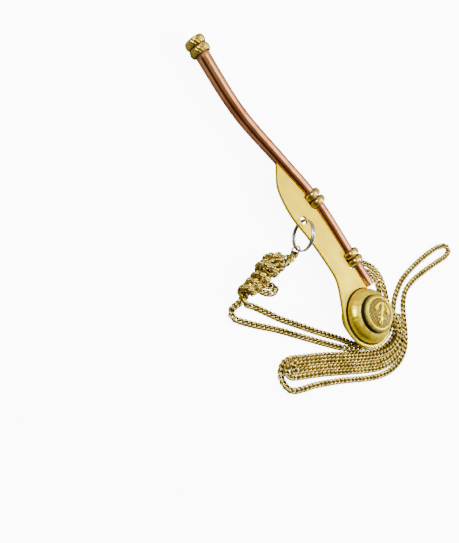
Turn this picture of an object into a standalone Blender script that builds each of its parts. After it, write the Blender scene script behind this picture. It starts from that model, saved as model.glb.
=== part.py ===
"""A boatswain's call: a copper gun pipe and a hollow brass buoy soldered to a flat brass
keel, with a split ring and a fine curb chain that lies on the table beside it.

The call is drawn in its own frame first. X runs along the keel from the centre of the buoy
to the mouth, Y points from the gun towards the keel's free edge, and Z is the keel's normal.
It is then tipped until the mouth end and the back of the buoy both touch the table.
Lengths are in metres, and +Z is up.
"""

import math

import bmesh
import bpy
import numpy as np
from mathutils import Matrix, Vector

MM = 0.001

# Clearances between touching pieces.
GAP = 0.25 * MM
# Points worked out between two neighbouring points of a smooth curve.
CURVE_STEPS = 24

# Gun: the bent copper pipe. Each station is (distance from the buoy's centre, offset in Y).
MUZZLE = (7.3 * MM, -10.0 * MM)
LOWER_BAND = (19.7 * MM, -10.9 * MM)
UPPER_BAND = (45.6 * MM, -12.5 * MM)
KEEL_TIP = (64.0 * MM, -10.2 * MM)
STEM_CREST = (86.0 * MM, -7.5 * MM)
MOUTH = (113.2 * MM, -10.0 * MM)
MUZZLE_RADIUS = 1.95 * MM
MOUTH_RADIUS = 2.65 * MM
PIPE_WALL = 0.55 * MM
PIPE_POINTS = 44
BORE_PAST = 1.0 * MM

# Keel: the flat brass plate. Its free edge is a smooth line through these points.
KEEL_THICKNESS = 1.2 * MM
KEEL_EDGE = (
    (57.6 * MM, -1.8 * MM),
    (52.0 * MM, 0.2 * MM),
    (45.0 * MM, 1.1 * MM),
    (36.0 * MM, 0.6 * MM),
    (26.0 * MM, 0.8 * MM),
    (19.0 * MM, 1.5 * MM),
)
KEEL_FLARE = 16.0 * MM
KEEL_FLARE_DIP = 2.3 * MM
KEEL_TIP_FLAT = 1.0 * MM
FREE_EDGE_POINTS = 30
DISC_POINTS = 44
GUN_EDGE_POINTS = 14
DISC_RIM = 1.3 * MM
DISC_NECK_ANGLE = math.radians(49.0)
DISC_END_ANGLE = math.radians(282.0)
BUOY_WINDOW_RADIUS = 6.0 * MM
RING_HOLE = (42.5 * MM, -2.2 * MM)
RING_HOLE_RADIUS = 1.5 * MM

# Buoy: two hollow domes, one on each side of the keel, and an embossed cap on each.
BUOY_RADIUS = 10.3 * MM
DOME_HEIGHT = 4.75 * MM
DOME_WALL = 0.7 * MM
# How full the dome's shoulder and crown are: 1 is an ellipse, and less is fuller.
DOME_SHOULDER = 0.8
DOME_CROWN = 0.9
DOME_POINTS = 9
CAP_RADIUS = 7.0 * MM
CAP_EDGE = 0.45 * MM
CAP_CROWN = 1.3 * MM
CAP_FLAT_RADIUS = 2.2 * MM
# Between its flat and its edge the cap's crown passes these shares of its radius and height.
CAP_SHOULDERS = ((0.62, 0.82), (0.86, 0.42))
SOUND_HOLE_ANGLE = math.radians(-60.0)
SOUND_HOLE_RADIUS = 2.3 * MM
SOUND_HOLE_SPREAD = 1.35
SOUND_HOLE_BITE = 2.6 * MM
SOUND_HOLE_PAST = 5.0 * MM
TURN_STEPS = 40

# Rings round the gun.
BAND_RADIUS = 3.55 * MM
BAND_WIDTH = 2.5 * MM
BAND_SPACING = 3.0 * MM
# A bead is as wide as this share at its bore, and stands straight up to this share of its height.
BEAD_FOOT = 0.8
BEAD_WALL = 0.35
MOUTH_RING_RADIUS = 3.75 * MM
MOUTH_RING_WIDTH = 2.7 * MM
MOUTH_RING_SPACING = 2.95 * MM

# Split ring: two turns of wire through the keel's hole, and the link that holds the chain.
SPLIT_RING_RADIUS = 5.5 * MM
SPLIT_WIRE = 0.7 * MM
SPLIT_PITCH = 0.78 * MM
SPLIT_TURNS = 2
SPLIT_POINTS = 26
SPLIT_OPEN = 0.02
SPLIT_STEP = 9.0
SPLIT_HEADING = math.radians(135.0)
LINK_ANGLE = math.radians(-45.0)
LINK_RADIUS = 1.65 * MM
LINK_WIRE = 0.6 * MM
LINK_OFFSET = 0.6 * MM

# Chain: a curb chain, drawn as a plain round cord of its outer width. The routes are
# measured from the table under the centre of the buoy.
CHAIN = 1.9 * MM
LYING = CHAIN / 2
CROSSING = 3.25 * MM
POINT_SPACING = 5.2 * MM
END_STEP = 0.8 * MM
ROUTE_POINTS = 1200

UPPER_RUN = (
    (34.0 * MM, 34.5 * MM, LYING),
    (32.3 * MM, 33.2 * MM, LYING),
    (28.8 * MM, 31.1 * MM, LYING),
    (22.6 * MM, 27.6 * MM, LYING),
    (15.8 * MM, 22.9 * MM, LYING),
    (7.9 * MM, 17.4 * MM, LYING),
    (-0.4 * MM, 11.2 * MM, LYING),
    (-6.0 * MM, 7.4 * MM, LYING),
    (-11.2 * MM, 3.2 * MM, LYING),
    (-14.5 * MM, -2.2 * MM, LYING),
    (-15.5 * MM, -8.2 * MM, LYING),
)
RIGHT_LOOP = (
    (-15.5 * MM, -8.2 * MM, LYING),
    (-14.3 * MM, -13.8 * MM, LYING),
    (-11.7 * MM, -18.6 * MM, LYING),
    (-8.9 * MM, -22.8 * MM, LYING),
    (-7.1 * MM, -27.6 * MM, LYING),
    (-5.9 * MM, -33.0 * MM, LYING),
    (-6.0 * MM, -40.6 * MM, LYING),
    (-6.9 * MM, -48.8 * MM, LYING),
    (-8.3 * MM, -56.8 * MM, LYING),
    (-10.2 * MM, -63.4 * MM, LYING),
    (-12.6 * MM, -67.3 * MM, LYING),
    (-15.2 * MM, -67.6 * MM, LYING),
    (-15.6 * MM, -64.2 * MM, LYING),
    (-13.6 * MM, -55.6 * MM, LYING),
    (-11.3 * MM, -45.6 * MM, LYING),
    (-10.0 * MM, -37.0 * MM, LYING),
    (-10.5 * MM, -30.4 * MM, LYING),
    (-13.5 * MM, -25.4 * MM, LYING),
)
OUTER_RUN = (
    (-13.5 * MM, -25.4 * MM, LYING),
    (-18.0 * MM, -21.2 * MM, LYING),
    (-22.7 * MM, -17.1 * MM, LYING),
    (-25.9 * MM, -12.4 * MM, LYING),
    (-27.0 * MM, -6.8 * MM, LYING),
    (-26.3 * MM, -0.9 * MM, LYING),
    (-24.0 * MM, 4.8 * MM, LYING),
    (-20.5 * MM, 10.4 * MM, LYING),
    (-15.9 * MM, 16.3 * MM, LYING),
    (-11.2 * MM, 22.3 * MM, LYING),
    (-7.0 * MM, 28.2 * MM, LYING),
    (-3.7 * MM, 33.2 * MM, LYING),
    (-1.3 * MM, 37.6 * MM, LYING),
    (1.3 * MM, 41.0 * MM, LYING),
    (4.4 * MM, 41.6 * MM, LYING),
)
MUZZLE_LOOP = (
    (-17.7 * MM, -12.6 * MM, 1.7 * MM),
    (-15.8 * MM, -14.3 * MM, 2.9 * MM),
    (-13.4 * MM, -15.5 * MM, CROSSING),
    (-10.6 * MM, -16.7 * MM, 2.4 * MM),
    (-7.2 * MM, -18.9 * MM, LYING),
    (-2.6 * MM, -21.6 * MM, LYING),
    (3.0 * MM, -23.6 * MM, LYING),
    (8.0 * MM, -22.9 * MM, LYING),
    (12.4 * MM, -20.0 * MM, LYING),
    (16.4 * MM, -15.8 * MM, LYING),
    (18.8 * MM, -11.0 * MM, LYING),
    (18.0 * MM, -6.7 * MM, LYING),
    (14.7 * MM, -5.0 * MM, LYING),
    (11.6 * MM, -7.0 * MM, LYING),
    (11.0 * MM, -11.6 * MM, LYING),
    (10.5 * MM, -16.4 * MM, LYING),
    (8.3 * MM, -19.6 * MM, LYING),
    (4.6 * MM, -20.9 * MM, LYING),
)
LOWER_RUN = (
    (4.6 * MM, -20.9 * MM, LYING),
    (0.6 * MM, -19.9 * MM, LYING),
    (-3.8 * MM, -16.4 * MM, LYING),
    (-8.2 * MM, -10.4 * MM, LYING),
    (-10.4 * MM, -4.4 * MM, LYING),
    (-10.6 * MM, 0.6 * MM, 2.4 * MM),
    (-9.3 * MM, 5.1 * MM, CROSSING),
    (-6.8 * MM, 9.4 * MM, 2.4 * MM),
    (-2.6 * MM, 13.4 * MM, LYING),
    (4.2 * MM, 18.8 * MM, LYING),
    (13.3 * MM, 25.7 * MM, LYING),
    (21.0 * MM, 31.6 * MM, LYING),
    (27.2 * MM, 37.0 * MM, LYING),
    (31.6 * MM, 40.4 * MM, LYING),
    (33.7 * MM, 41.7 * MM, LYING),
    (35.6 * MM, 41.8 * MM, LYING),
    (36.6 * MM, 40.4 * MM, LYING),
    (36.7 * MM, 38.5 * MM, LYING),
    (36.5 * MM, 36.7 * MM, LYING),
)
# The fold of the hank that reaches furthest, between the two sides of the right loop.
HANK_TIP = (
    (-21.7 * MM, -13.4 * MM, LYING),
    (-19.6 * MM, -16.2 * MM, LYING),
    (-16.9 * MM, -18.9 * MM, LYING),
    (-14.9 * MM, -20.2 * MM, LYING),
    (-14.0 * MM, -19.0 * MM, LYING),
    (-15.5 * MM, -16.9 * MM, LYING),
    (-17.2 * MM, -14.9 * MM, LYING),
)
# The hank: four lanes side by side with a fifth on top. This is the centre of its inner lane.
HANK_LANE = (
    (9.2 * MM, 33.5 * MM),
    (5.4 * MM, 28.3 * MM),
    (1.4 * MM, 22.8 * MM),
    (-3.2 * MM, 17.0 * MM),
    (-7.8 * MM, 11.3 * MM),
    (-12.2 * MM, 5.7 * MM),
    (-15.9 * MM, 0.4 * MM),
    (-17.9 * MM, -4.6 * MM),
    (-18.4 * MM, -9.0 * MM),
)
HANK_LANES = 4
LANE_SPACING = 2.05 * MM
HANK_HEIGHT = 3.85 * MM
LANE_POINTS = 15
ROUND_END_POINTS = 9
# The knot: a fat core of wrapped chain between the ring and the runs, with a short loop.
KNOT_CORE = (
    (34.9 * MM, 7.2 * MM, 1.45 * MM),
    (34.9 * MM, 10.0 * MM, 1.7 * MM),
    (36.5 * MM, 13.4 * MM, 2.7 * MM),
    (38.3 * MM, 17.2 * MM, 3.9 * MM),
    (38.7 * MM, 21.5 * MM, 4.0 * MM),
    (38.1 * MM, 25.4 * MM, 3.1 * MM),
    (37.9 * MM, 28.4 * MM, 2.6 * MM),
    (38.3 * MM, 31.4 * MM, 3.0 * MM),
    (37.8 * MM, 33.8 * MM, 2.7 * MM),
    (36.9 * MM, 35.2 * MM, 2.1 * MM),
)
KNOT_CLEAR = (0.34 * MM, 1.49 * MM)
KNOT_LOOP = (
    (36.0 * MM, 27.4 * MM, 1.7 * MM),
    (33.6 * MM, 26.2 * MM, 1.7 * MM),
    (31.9 * MM, 23.8 * MM, 1.6 * MM),
    (30.9 * MM, 21.2 * MM, 1.4 * MM),
)


def clear_scene():
    """Removes every object that the scene holds."""
    for obj in list(bpy.data.objects):
        bpy.data.objects.remove(obj, do_unlink=True)


def collection(name):
    """A new collection in the scene."""
    made = bpy.data.collections.new(name)
    bpy.context.scene.collection.children.link(made)
    return made


def material(name, colour, roughness, metallic=1.0):
    """A Principled material of one plain colour."""
    made = bpy.data.materials.new(name)
    made.use_nodes = True
    shader = made.node_tree.nodes["Principled BSDF"]
    shader.inputs["Base Color"].default_value = (*colour, 1.0)
    shader.inputs["Roughness"].default_value = roughness
    shader.inputs["Metallic"].default_value = metallic
    made.diffuse_color = (*colour, 1.0)
    return made


def empty(name, parent, location=(0, 0, 0)):
    """A plain-axes empty, placed under its parent."""
    made = bpy.data.objects.new(name, None)
    PARTS.objects.link(made)
    made.parent = parent
    made.location = location
    made.empty_display_size = 5 * MM
    return made


def add(name, data, parent, finish, location=(0, 0, 0)):
    """A part: an object of this data under its parent, with its own copy of the finish."""
    made = bpy.data.objects.new(name, data)
    PARTS.objects.link(made)
    made.parent = parent
    made.location = location
    own = finish.copy()
    own.name = name + "_finish"
    data.materials.append(own)
    return made


def shade_round(mesh, degrees=35):
    """Smooth shading, apart from the edges that are sharper than this angle."""
    mesh.shade_smooth()
    mesh.set_sharp_from_angle(angle=math.radians(degrees))


def through(points, count):
    """Points spaced evenly along the smooth curve through the given points."""
    knots = np.array([list(p) for p in points], float)
    knots = np.vstack([2 * knots[0] - knots[1], knots, 2 * knots[-1] - knots[-2]])
    dense = []
    for a, b, c, d in zip(knots[:-3], knots[1:-2], knots[2:-1], knots[3:]):
        chords = [np.linalg.norm(b - a), np.linalg.norm(c - b), np.linalg.norm(d - c)]
        steps = np.cumsum([0.0, *np.sqrt(chords)])
        for t in np.linspace(steps[1], steps[2], CURVE_STEPS, endpoint=False):
            ab = lean(a, b, steps[0], steps[1], t)
            bc = lean(b, c, steps[1], steps[2], t)
            cd = lean(c, d, steps[2], steps[3], t)
            first = lean(ab, bc, steps[0], steps[2], t)
            last = lean(bc, cd, steps[1], steps[3], t)
            dense.append(lean(first, last, steps[1], steps[2], t))
    dense = np.array(dense + [knots[-2]])
    run = np.concatenate([[0.0], np.cumsum(np.linalg.norm(np.diff(dense, axis=0), axis=1))])
    wanted = np.linspace(0.0, run[-1], count)
    return np.stack([np.interp(wanted, run, dense[:, k]) for k in range(dense.shape[1])], axis=1)


def lean(p, q, start, end, t):
    """The point at t on the straight line that is p at start and q at end."""
    return p + (q - p) * (t - start) / (end - start)


def wire(name, points, radius, sides=8, closed=False, radii=None):
    """Curve data for a round wire along the points, with filled ends."""
    curve = bpy.data.curves.new(name, "CURVE")
    curve.dimensions = "3D"
    curve.bevel_depth = radius
    curve.bevel_resolution = sides // 2 - 2
    curve.use_fill_caps = not closed
    spline = curve.splines.new("POLY")
    spline.points.add(len(points) - 1)
    for index, point in enumerate(points):
        spline.points[index].co = (*point[:3], 1.0)
        spline.points[index].radius = 1.0 if radii is None else radii[index]
    spline.use_cyclic_u = closed
    return curve


def as_mesh(obj):
    """Turns a curve object into a mesh object with welded ends, in the same place."""
    bpy.context.view_layer.update()
    evaluated = obj.evaluated_get(bpy.context.evaluated_depsgraph_get())
    mesh = bpy.data.meshes.new_from_object(evaluated)
    shape = bmesh.new()
    shape.from_mesh(mesh)
    bmesh.ops.remove_doubles(shape, verts=shape.verts, dist=0.001 * MM)
    bmesh.ops.recalc_face_normals(shape, faces=shape.faces)
    shape.to_mesh(mesh)
    shape.free()
    name, parent, place = obj.name, obj.parent, obj.matrix_local.copy()
    home, hidden, display = obj.users_collection[0], obj.hide_render, obj.display_type
    bpy.data.objects.remove(obj, do_unlink=True)
    made = bpy.data.objects.new(name, mesh)
    home.objects.link(made)
    made.parent = parent
    made.matrix_local = place
    made.hide_render = hidden
    made.display_type = display
    return made


def cutter(name, data, parent):
    """A hidden object that only cuts other parts."""
    made = bpy.data.objects.new(name, data)
    CUTTERS.objects.link(made)
    made.parent = parent
    made.hide_render = True
    made.display_type = "WIRE"
    return made


def boolean(obj, other, operation="DIFFERENCE"):
    """Adds an exact Boolean modifier."""
    modifier = obj.modifiers.new(operation.title(), "BOOLEAN")
    modifier.operation = operation
    modifier.object = other
    modifier.solver = "EXACT"


def turned(name, profile, parent, finish, steps=TURN_STEPS):
    """A solid turned about Z from a closed profile of (radius, height) points."""
    mesh = bpy.data.meshes.new(name)
    points = [(radius, 0.0, height) for radius, height in profile]
    edges = [(index, index + 1) for index in range(len(points) - 1)]
    if profile[0][0] > 0:
        edges.append((len(points) - 1, 0))
    mesh.from_pydata(points, edges, [])
    made = add(name, mesh, parent, finish)
    screw = made.modifiers.new("Turn", "SCREW")
    screw.axis = "Z"
    screw.steps = steps
    screw.render_steps = steps
    screw.use_merge_vertices = True
    screw.merge_threshold = 0.01 * MM
    screw.use_smooth_shade = True
    return made


def pipe_line():
    """The gun's centre line, from muzzle to mouth, in the keel's mid-plane."""
    stations = (MUZZLE, LOWER_BAND, UPPER_BAND, KEEL_TIP, STEM_CREST, MOUTH)
    return through([(x, y, 0.0) for x, y in stations], PIPE_POINTS)


def pipe_at(x):
    """The gun's centre, heading and outer radius at this distance from the buoy."""
    line = pipe_line()
    y = float(np.interp(x, line[:, 0], line[:, 1]))
    slope = np.interp(x, line[:, 0], np.gradient(line[:, 1], line[:, 0]))
    share = (x - MUZZLE[0]) / (MOUTH[0] - MUZZLE[0])
    radius = MUZZLE_RADIUS + (MOUTH_RADIUS - MUZZLE_RADIUS) * share
    return y, math.atan(float(slope)), radius


def gun(call, copper):
    """The bent pipe, tapered towards the muzzle and open from end to end."""
    line = pipe_line()
    radii = np.array([pipe_at(x)[2] for x in line[:, 0]])
    outer = wire("gun_tube", line, 1.0, sides=14, radii=radii)
    tube = as_mesh(add("gun_tube", outer, call, copper))
    first = line[0] + (line[0] - line[1]) / np.linalg.norm(line[0] - line[1]) * BORE_PAST
    last = line[-1] + (line[-1] - line[-2]) / np.linalg.norm(line[-1] - line[-2]) * BORE_PAST
    bore_line = np.vstack([first, line[1:-1], last])
    bore = wire("gun_bore", bore_line, 1.0, sides=12, radii=radii - PIPE_WALL)
    boolean(tube, as_mesh(cutter("gun_bore", bore, call)))
    shade_round(tube.data)
    return tube


def band_edges():
    """The stretches along the gun that its bands take out of the keel's edge."""
    half = BAND_SPACING / 2 + BAND_WIDTH / 2 + GAP
    return [(station[0] - half, station[0] + half) for station in (LOWER_BAND, UPPER_BAND)]


def keel_outline():
    """The keel's outline: up the free edge, round the disc, and back along the gun."""
    rim = BUOY_RADIUS + DISC_RIM
    tip_y = pipe_at(KEEL_TIP[0])[0] + pipe_at(KEEL_TIP[0])[2] + GAP
    corner = (rim * math.cos(DISC_NECK_ANGLE), rim * math.sin(DISC_NECK_ANGLE))
    flare = (KEEL_FLARE, (KEEL_EDGE[-1][1] + corner[1]) / 2 - KEEL_FLARE_DIP)
    free = through([(KEEL_TIP[0], tip_y), *KEEL_EDGE, flare, corner], FREE_EDGE_POINTS)
    arc = [
        (rim * math.cos(angle), rim * math.sin(angle))
        for angle in np.linspace(DISC_NECK_ANGLE, DISC_END_ANGLE, DISC_POINTS)[1:]
    ]
    near = MUZZLE[0] - 2 * GAP
    far = KEEL_TIP[0] - KEEL_TIP_FLAT
    stations = list(np.linspace(near, far, GUN_EDGE_POINTS))
    # Two points close together on each side of a band's edge make its corner.
    for edge in (edge for band in band_edges() for edge in band):
        stations += [edge - GAP / 4, edge + GAP / 4]
    along = []
    for x in sorted(stations):
        y, slope, radius = pipe_at(x)
        in_band = any(low < x < high for low, high in band_edges())
        along.append((x, y + (BAND_RADIUS if in_band else radius) / math.cos(slope) + GAP))
    return [tuple(p) for p in free] + arc + along


def keel(call, brass):
    """The flat plate that carries the gun and the buoy, with its ring hole and its window."""
    curve = bpy.data.curves.new("keel_plate", "CURVE")
    curve.dimensions = "2D"
    curve.fill_mode = "BOTH"
    curve.extrude = KEEL_THICKNESS / 2
    holes = (
        circle(0.0, 0.0, BUOY_WINDOW_RADIUS, 32),
        circle(*RING_HOLE, RING_HOLE_RADIUS, 20),
    )
    for outline in (keel_outline(), *holes):
        spline = curve.splines.new("POLY")
        spline.points.add(len(outline) - 1)
        for index, (x, y) in enumerate(outline):
            spline.points[index].co = (x, y, 0.0, 1.0)
        spline.use_cyclic_u = True
    return as_mesh(add("keel_plate", curve, call, brass))


def circle(x, y, radius, count):
    """Points round a circle."""
    angles = np.linspace(0.0, 2 * math.pi, count, endpoint=False)
    return [(x + radius * math.cos(a), y + radius * math.sin(a)) for a in angles]


def dome_profile():
    """Half a section of one hollow dome, from the top of the outside to the top of the inside."""
    foot = KEEL_THICKNESS / 2 + GAP
    outer = arc_of(BUOY_RADIUS, DOME_HEIGHT, foot, DOME_POINTS)
    inner = arc_of(BUOY_RADIUS - DOME_WALL, DOME_HEIGHT - DOME_WALL, foot, DOME_POINTS)
    return outer + inner[::-1]


def arc_of(radius, height, foot, count):
    """A flattened quarter round, from its top on the axis down to its foot."""
    points = []
    for angle in np.linspace(math.pi / 2, 0.0, count):
        across = max(0.0, math.cos(angle)) ** DOME_SHOULDER
        rise = math.sin(angle) ** DOME_CROWN
        points.append((radius * across if angle < math.pi / 2 else 0.0, foot + height * rise))
    return points


def buoy(call, brass, worn_brass):
    """Two hollow domes, open towards the keel's window, and a crowned cap on each."""
    domes = []
    dome_top = KEEL_THICKNESS / 2 + GAP + DOME_HEIGHT
    for name, flip in (("front", 0.0), ("back", math.pi)):
        dome = turned(name + "_dome", dome_profile(), call, brass)
        dome.rotation_euler.x = flip
        domes.append(dome)
        under = dome_top + GAP
        edge = under + CAP_EDGE
        profile = (
            (0.0, edge + CAP_CROWN),
            (CAP_FLAT_RADIUS, edge + CAP_CROWN),
            *((CAP_RADIUS * across, edge + CAP_CROWN * up) for across, up in CAP_SHOULDERS),
            (CAP_RADIUS, edge),
            (CAP_RADIUS, under),
            (0.0, under),
        )
        cap = turned(name + "_cap", profile, call, worn_brass)
        cap.rotation_euler.x = flip
    return domes


def sound_hole(call, pieces):
    """The opening that the muzzle blows across, cut through both domes and the keel's rim."""
    depth = 2 * DISC_RIM + 2 * DOME_WALL + SOUND_HOLE_PAST
    mesh = bpy.data.meshes.new("sound_hole")
    shape = bmesh.new()
    bmesh.ops.create_cone(
        shape,
        cap_ends=True,
        segments=24,
        radius1=SOUND_HOLE_RADIUS,
        radius2=SOUND_HOLE_RADIUS,
        depth=depth,
    )
    bmesh.ops.scale(shape, verts=shape.verts, vec=(1.0, SOUND_HOLE_SPREAD, 1.0))
    # The cone's axis is Z: lay it along X, with its wide side along the keel's normal.
    bmesh.ops.rotate(shape, verts=shape.verts, matrix=Matrix.Rotation(math.pi / 2, 3, "Y"))
    bmesh.ops.rotate(shape, verts=shape.verts, matrix=Matrix.Rotation(math.pi / 2, 3, "X"))
    shape.to_mesh(mesh)
    shape.free()
    tool = cutter("sound_hole", mesh, call)
    middle = BUOY_RADIUS + depth / 2 - DOME_WALL - SOUND_HOLE_BITE
    tool.location.x = middle * math.cos(SOUND_HOLE_ANGLE)
    tool.location.y = middle * math.sin(SOUND_HOLE_ANGLE)
    tool.rotation_euler.z = SOUND_HOLE_ANGLE
    for piece in pieces:
        boolean(piece, tool)


def bead(name, x, radius, width, call, brass):
    """A rounded ring round the gun at this distance from the buoy."""
    y, slope, pipe = pipe_at(x)
    bore = pipe + GAP
    half = width / 2
    rise = radius - bore
    profile = [(bore, -half * BEAD_FOOT), (bore, half * BEAD_FOOT)]
    for angle in np.linspace(math.pi / 2, -math.pi / 2, 9):
        share = BEAD_WALL + (1.0 - BEAD_WALL) * math.cos(angle)
        profile.append((bore + rise * share, half * math.sin(angle)))
    made = turned(name, profile, call, brass, steps=32)
    made.location = (x, y, 0.0)
    made.rotation_euler = (0.0, math.pi / 2, slope)
    return made


def rings_on_gun(call, brass, worn_brass):
    """Two rings in each band, and the two heavy rings of the mouth."""
    for name, station in (("lower_band", LOWER_BAND), ("upper_band", UPPER_BAND)):
        for end, side in (("_muzzle_ring", -1), ("_mouth_ring", 1)):
            x = station[0] + side * BAND_SPACING / 2
            bead(name + end, x, BAND_RADIUS, BAND_WIDTH, call, brass)
    outer = MOUTH[0] - MOUTH_RING_WIDTH / 2 + GAP
    bead("mouthpiece_end_ring", outer, MOUTH_RING_RADIUS, MOUTH_RING_WIDTH, call, worn_brass)
    inner = outer - MOUTH_RING_SPACING
    bead("mouthpiece_inner_ring", inner, MOUTH_RING_RADIUS, MOUTH_RING_WIDTH, call, worn_brass)


def tip_of_call():
    """The angle that lays both the mouth's ring and the back cap on the table."""
    cap = KEEL_THICKNESS / 2 + 2 * GAP + DOME_HEIGHT + CAP_EDGE + CAP_CROWN
    return math.atan((cap - MOUTH_RING_RADIUS) / (MOUTH[0] - MOUTH_RING_WIDTH / 2 - CAP_FLAT_RADIUS))


def lowest_and_middle(objects):
    """The lowest Z, and the middle in X and Y, of these objects as they stand."""
    bpy.context.view_layer.update()
    graph = bpy.context.evaluated_depsgraph_get()
    points = []
    for obj in objects:
        evaluated = obj.evaluated_get(graph)
        mesh = evaluated.to_mesh()
        points += [evaluated.matrix_world @ vertex.co for vertex in mesh.vertices]
        evaluated.to_mesh_clear()
    low = [min(p[k] for p in points) for k in range(3)]
    high = [max(p[k] for p in points) for k in range(3)]
    return low[2], (low[0] + high[0]) / 2, (low[1] + high[1]) / 2


def split_ring(table, call, steel, brass):
    """The ring stands upright through the keel's hole, and a small link hangs from it."""
    bpy.context.view_layer.update()
    hole = table.matrix_world.inverted() @ call.matrix_world @ Vector((*RING_HOLE, 0.0))
    towards = Vector((math.cos(SPLIT_HEADING), math.sin(SPLIT_HEADING), 0.0))
    upright = Vector((0.0, 0.0, 1.0))
    axis = towards.cross(upright)
    centre = hole + towards * SPLIT_RING_RADIUS
    turn = Matrix((towards, upright, axis)).transposed().to_4x4()
    radial = Vector((math.cos(LINK_ANGLE), math.sin(LINK_ANGLE), 0.0))
    held = centre + turn.to_3x3() @ (radial * SPLIT_RING_RADIUS)

    swing = empty("ring_swing", table, held)
    points = []
    for share in np.linspace(0.0, SPLIT_TURNS - SPLIT_OPEN, SPLIT_POINTS * SPLIT_TURNS):
        angle = 2 * math.pi * share
        # The two turns lie side by side, and the wire steps across between them.
        height = SPLIT_PITCH / 2 * math.tanh((share - SPLIT_TURNS / 2) * SPLIT_STEP)
        points.append((SPLIT_RING_RADIUS * math.cos(angle), SPLIT_RING_RADIUS * math.sin(angle), height))
    ring = add("split_ring", wire("split_ring", points, SPLIT_WIRE / 2), swing, steel)
    ring.matrix_local = Matrix.Translation(centre - held) @ turn

    bpy.ops.mesh.primitive_torus_add(
        major_segments=24, minor_segments=8, major_radius=LINK_RADIUS, minor_radius=LINK_WIRE / 2
    )
    loose = bpy.context.object
    data = loose.data
    bpy.data.objects.remove(loose, do_unlink=True)
    link = add("chain_end_link", data, swing, brass)
    shade_round(data)
    out = turn.to_3x3() @ radial
    along = axis.cross(out)
    lie = Matrix((out, axis, along)).transposed().to_4x4()
    link.matrix_local = Matrix.Translation(out * LINK_OFFSET) @ lie
    return ring, held + out * (LINK_OFFSET + LINK_RADIUS + LINK_WIRE / 2)


def chain_runs(routes, table, brass):
    """Stretches of chain that follow each other, as plain cords with a gap at each join."""
    first, *others = routes.values()
    points = [*first, *(point for route in others for point in route[1:])]
    dense = through(points, ROUTE_POINTS)
    run = np.concatenate([[0.0], np.cumsum(np.linalg.norm(np.diff(dense, axis=0), axis=1))])
    start = 0.0
    for name, route in routes.items():
        nearest = np.linalg.norm(dense - np.array(route[-1]), axis=1).argmin()
        end = float(run[nearest])
        last = nearest == len(run) - 1
        count = max(4, int(round((end - start) / POINT_SPACING)) + 1)
        wanted = np.linspace(start + (GAP if start else 0.0), end if last else end - GAP / 2, count)
        # A short first and last step set each end square to the curve.
        wanted = np.insert(wanted, [1, count - 1], [wanted[0] + END_STEP, wanted[-1] - END_STEP])
        line = np.stack([np.interp(wanted, run, dense[:, k]) for k in range(3)], axis=1)
        add(name, wire(name, line, CHAIN / 2), table, brass)
        start = end


def hank_outline():
    """The outline of the lanes, with a round end at each end."""
    lane = through(HANK_LANE, LANE_POINTS)
    heading = np.gradient(lane, axis=0)
    heading /= np.linalg.norm(heading, axis=1)[:, None]
    outward = np.stack([heading[:, 1], -heading[:, 0]], axis=1)
    near = -CHAIN / 2
    far = (HANK_LANES - 1) * LANE_SPACING + CHAIN / 2
    half = (far - near) / 2
    outline = []
    for side, order in ((near, slice(None)), (far, slice(None, None, -1))):
        outline += [tuple(p) for p in (lane + outward * side)[order]]
        end = -1 if side == near else 0
        sign = 1.0 if side == near else -1.0
        middle = lane[end] + outward[end] * (near + far) / 2
        for angle in np.linspace(0.0, math.pi, ROUND_END_POINTS)[1:-1]:
            reach = heading[end] * math.sin(angle) * sign - outward[end] * math.cos(angle) * sign
            outline.append(tuple(middle + reach * half))
    return outline


def hank(table, brass):
    """The folded lanes beside the buoy, as one flat solid."""
    curve = bpy.data.curves.new("chain_hank", "CURVE")
    curve.dimensions = "2D"
    curve.fill_mode = "BOTH"
    curve.extrude = HANK_HEIGHT / 2
    outline = hank_outline()
    spline = curve.splines.new("POLY")
    spline.points.add(len(outline) - 1)
    for index, (x, y) in enumerate(outline):
        spline.points[index].co = (x, y, 0.0, 1.0)
    spline.use_cyclic_u = True
    made = add("chain_hank", curve, table, brass, location=(0.0, 0.0, HANK_HEIGHT / 2))
    return as_mesh(made)


def knot(table, brass, link_end):
    """The wrapped knot of chain by the ring, with the short loop that sticks out of it."""
    pieces = []
    # The core starts clear of the end link and leans back to its own line along its length.
    start = Vector(KNOT_CORE[0][:2])
    shift = Vector(link_end[:2]) + Vector(KNOT_CLEAR) - start
    leans = np.linspace(1.0, 0.0, len(KNOT_CORE))
    led = [(x + shift.x * k, y + shift.y * k, r) for (x, y, r), k in zip(KNOT_CORE, leans)]
    for name, core, count in (("chain_knot", led, 16), ("chain_knot_loop", KNOT_LOOP, 6)):
        points = through([(x, y, r, r) for x, y, r in core], count)
        data = wire(name, points, 1.0, sides=12, radii=points[:, 3])
        if pieces:
            pieces.append(as_mesh(cutter(name, data, table)))
        else:
            pieces.append(as_mesh(add(name, data, table, brass)))
    boolean(pieces[0], pieces[1], "UNION")
    return pieces[0]


clear_scene()
PARTS = collection("boatswains_call")
CUTTERS = collection("cutters")

COPPER = material("copper", (0.72, 0.33, 0.2), 0.22)
KEEL_BRASS = material("keel_brass", (0.86, 0.72, 0.4), 0.3)
BUOY_BRASS = material("buoy_brass", (0.78, 0.6, 0.2), 0.28)
WORN_BRASS = material("worn_brass", (0.62, 0.48, 0.17), 0.38)
RING_STEEL = material("ring_steel", (0.62, 0.6, 0.54), 0.3)
CHAIN_BRASS = material("chain_brass", (0.5, 0.42, 0.22), 0.42)

TABLE = empty("table", None)
CALL = empty("call", TABLE)
CALL.rotation_euler.y = tip_of_call()

GUN = gun(CALL, COPPER)
KEEL = keel(CALL, KEEL_BRASS)
DOMES = buoy(CALL, BUOY_BRASS, WORN_BRASS)
sound_hole(CALL, [KEEL, *DOMES])
rings_on_gun(CALL, KEEL_BRASS, WORN_BRASS)

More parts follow.
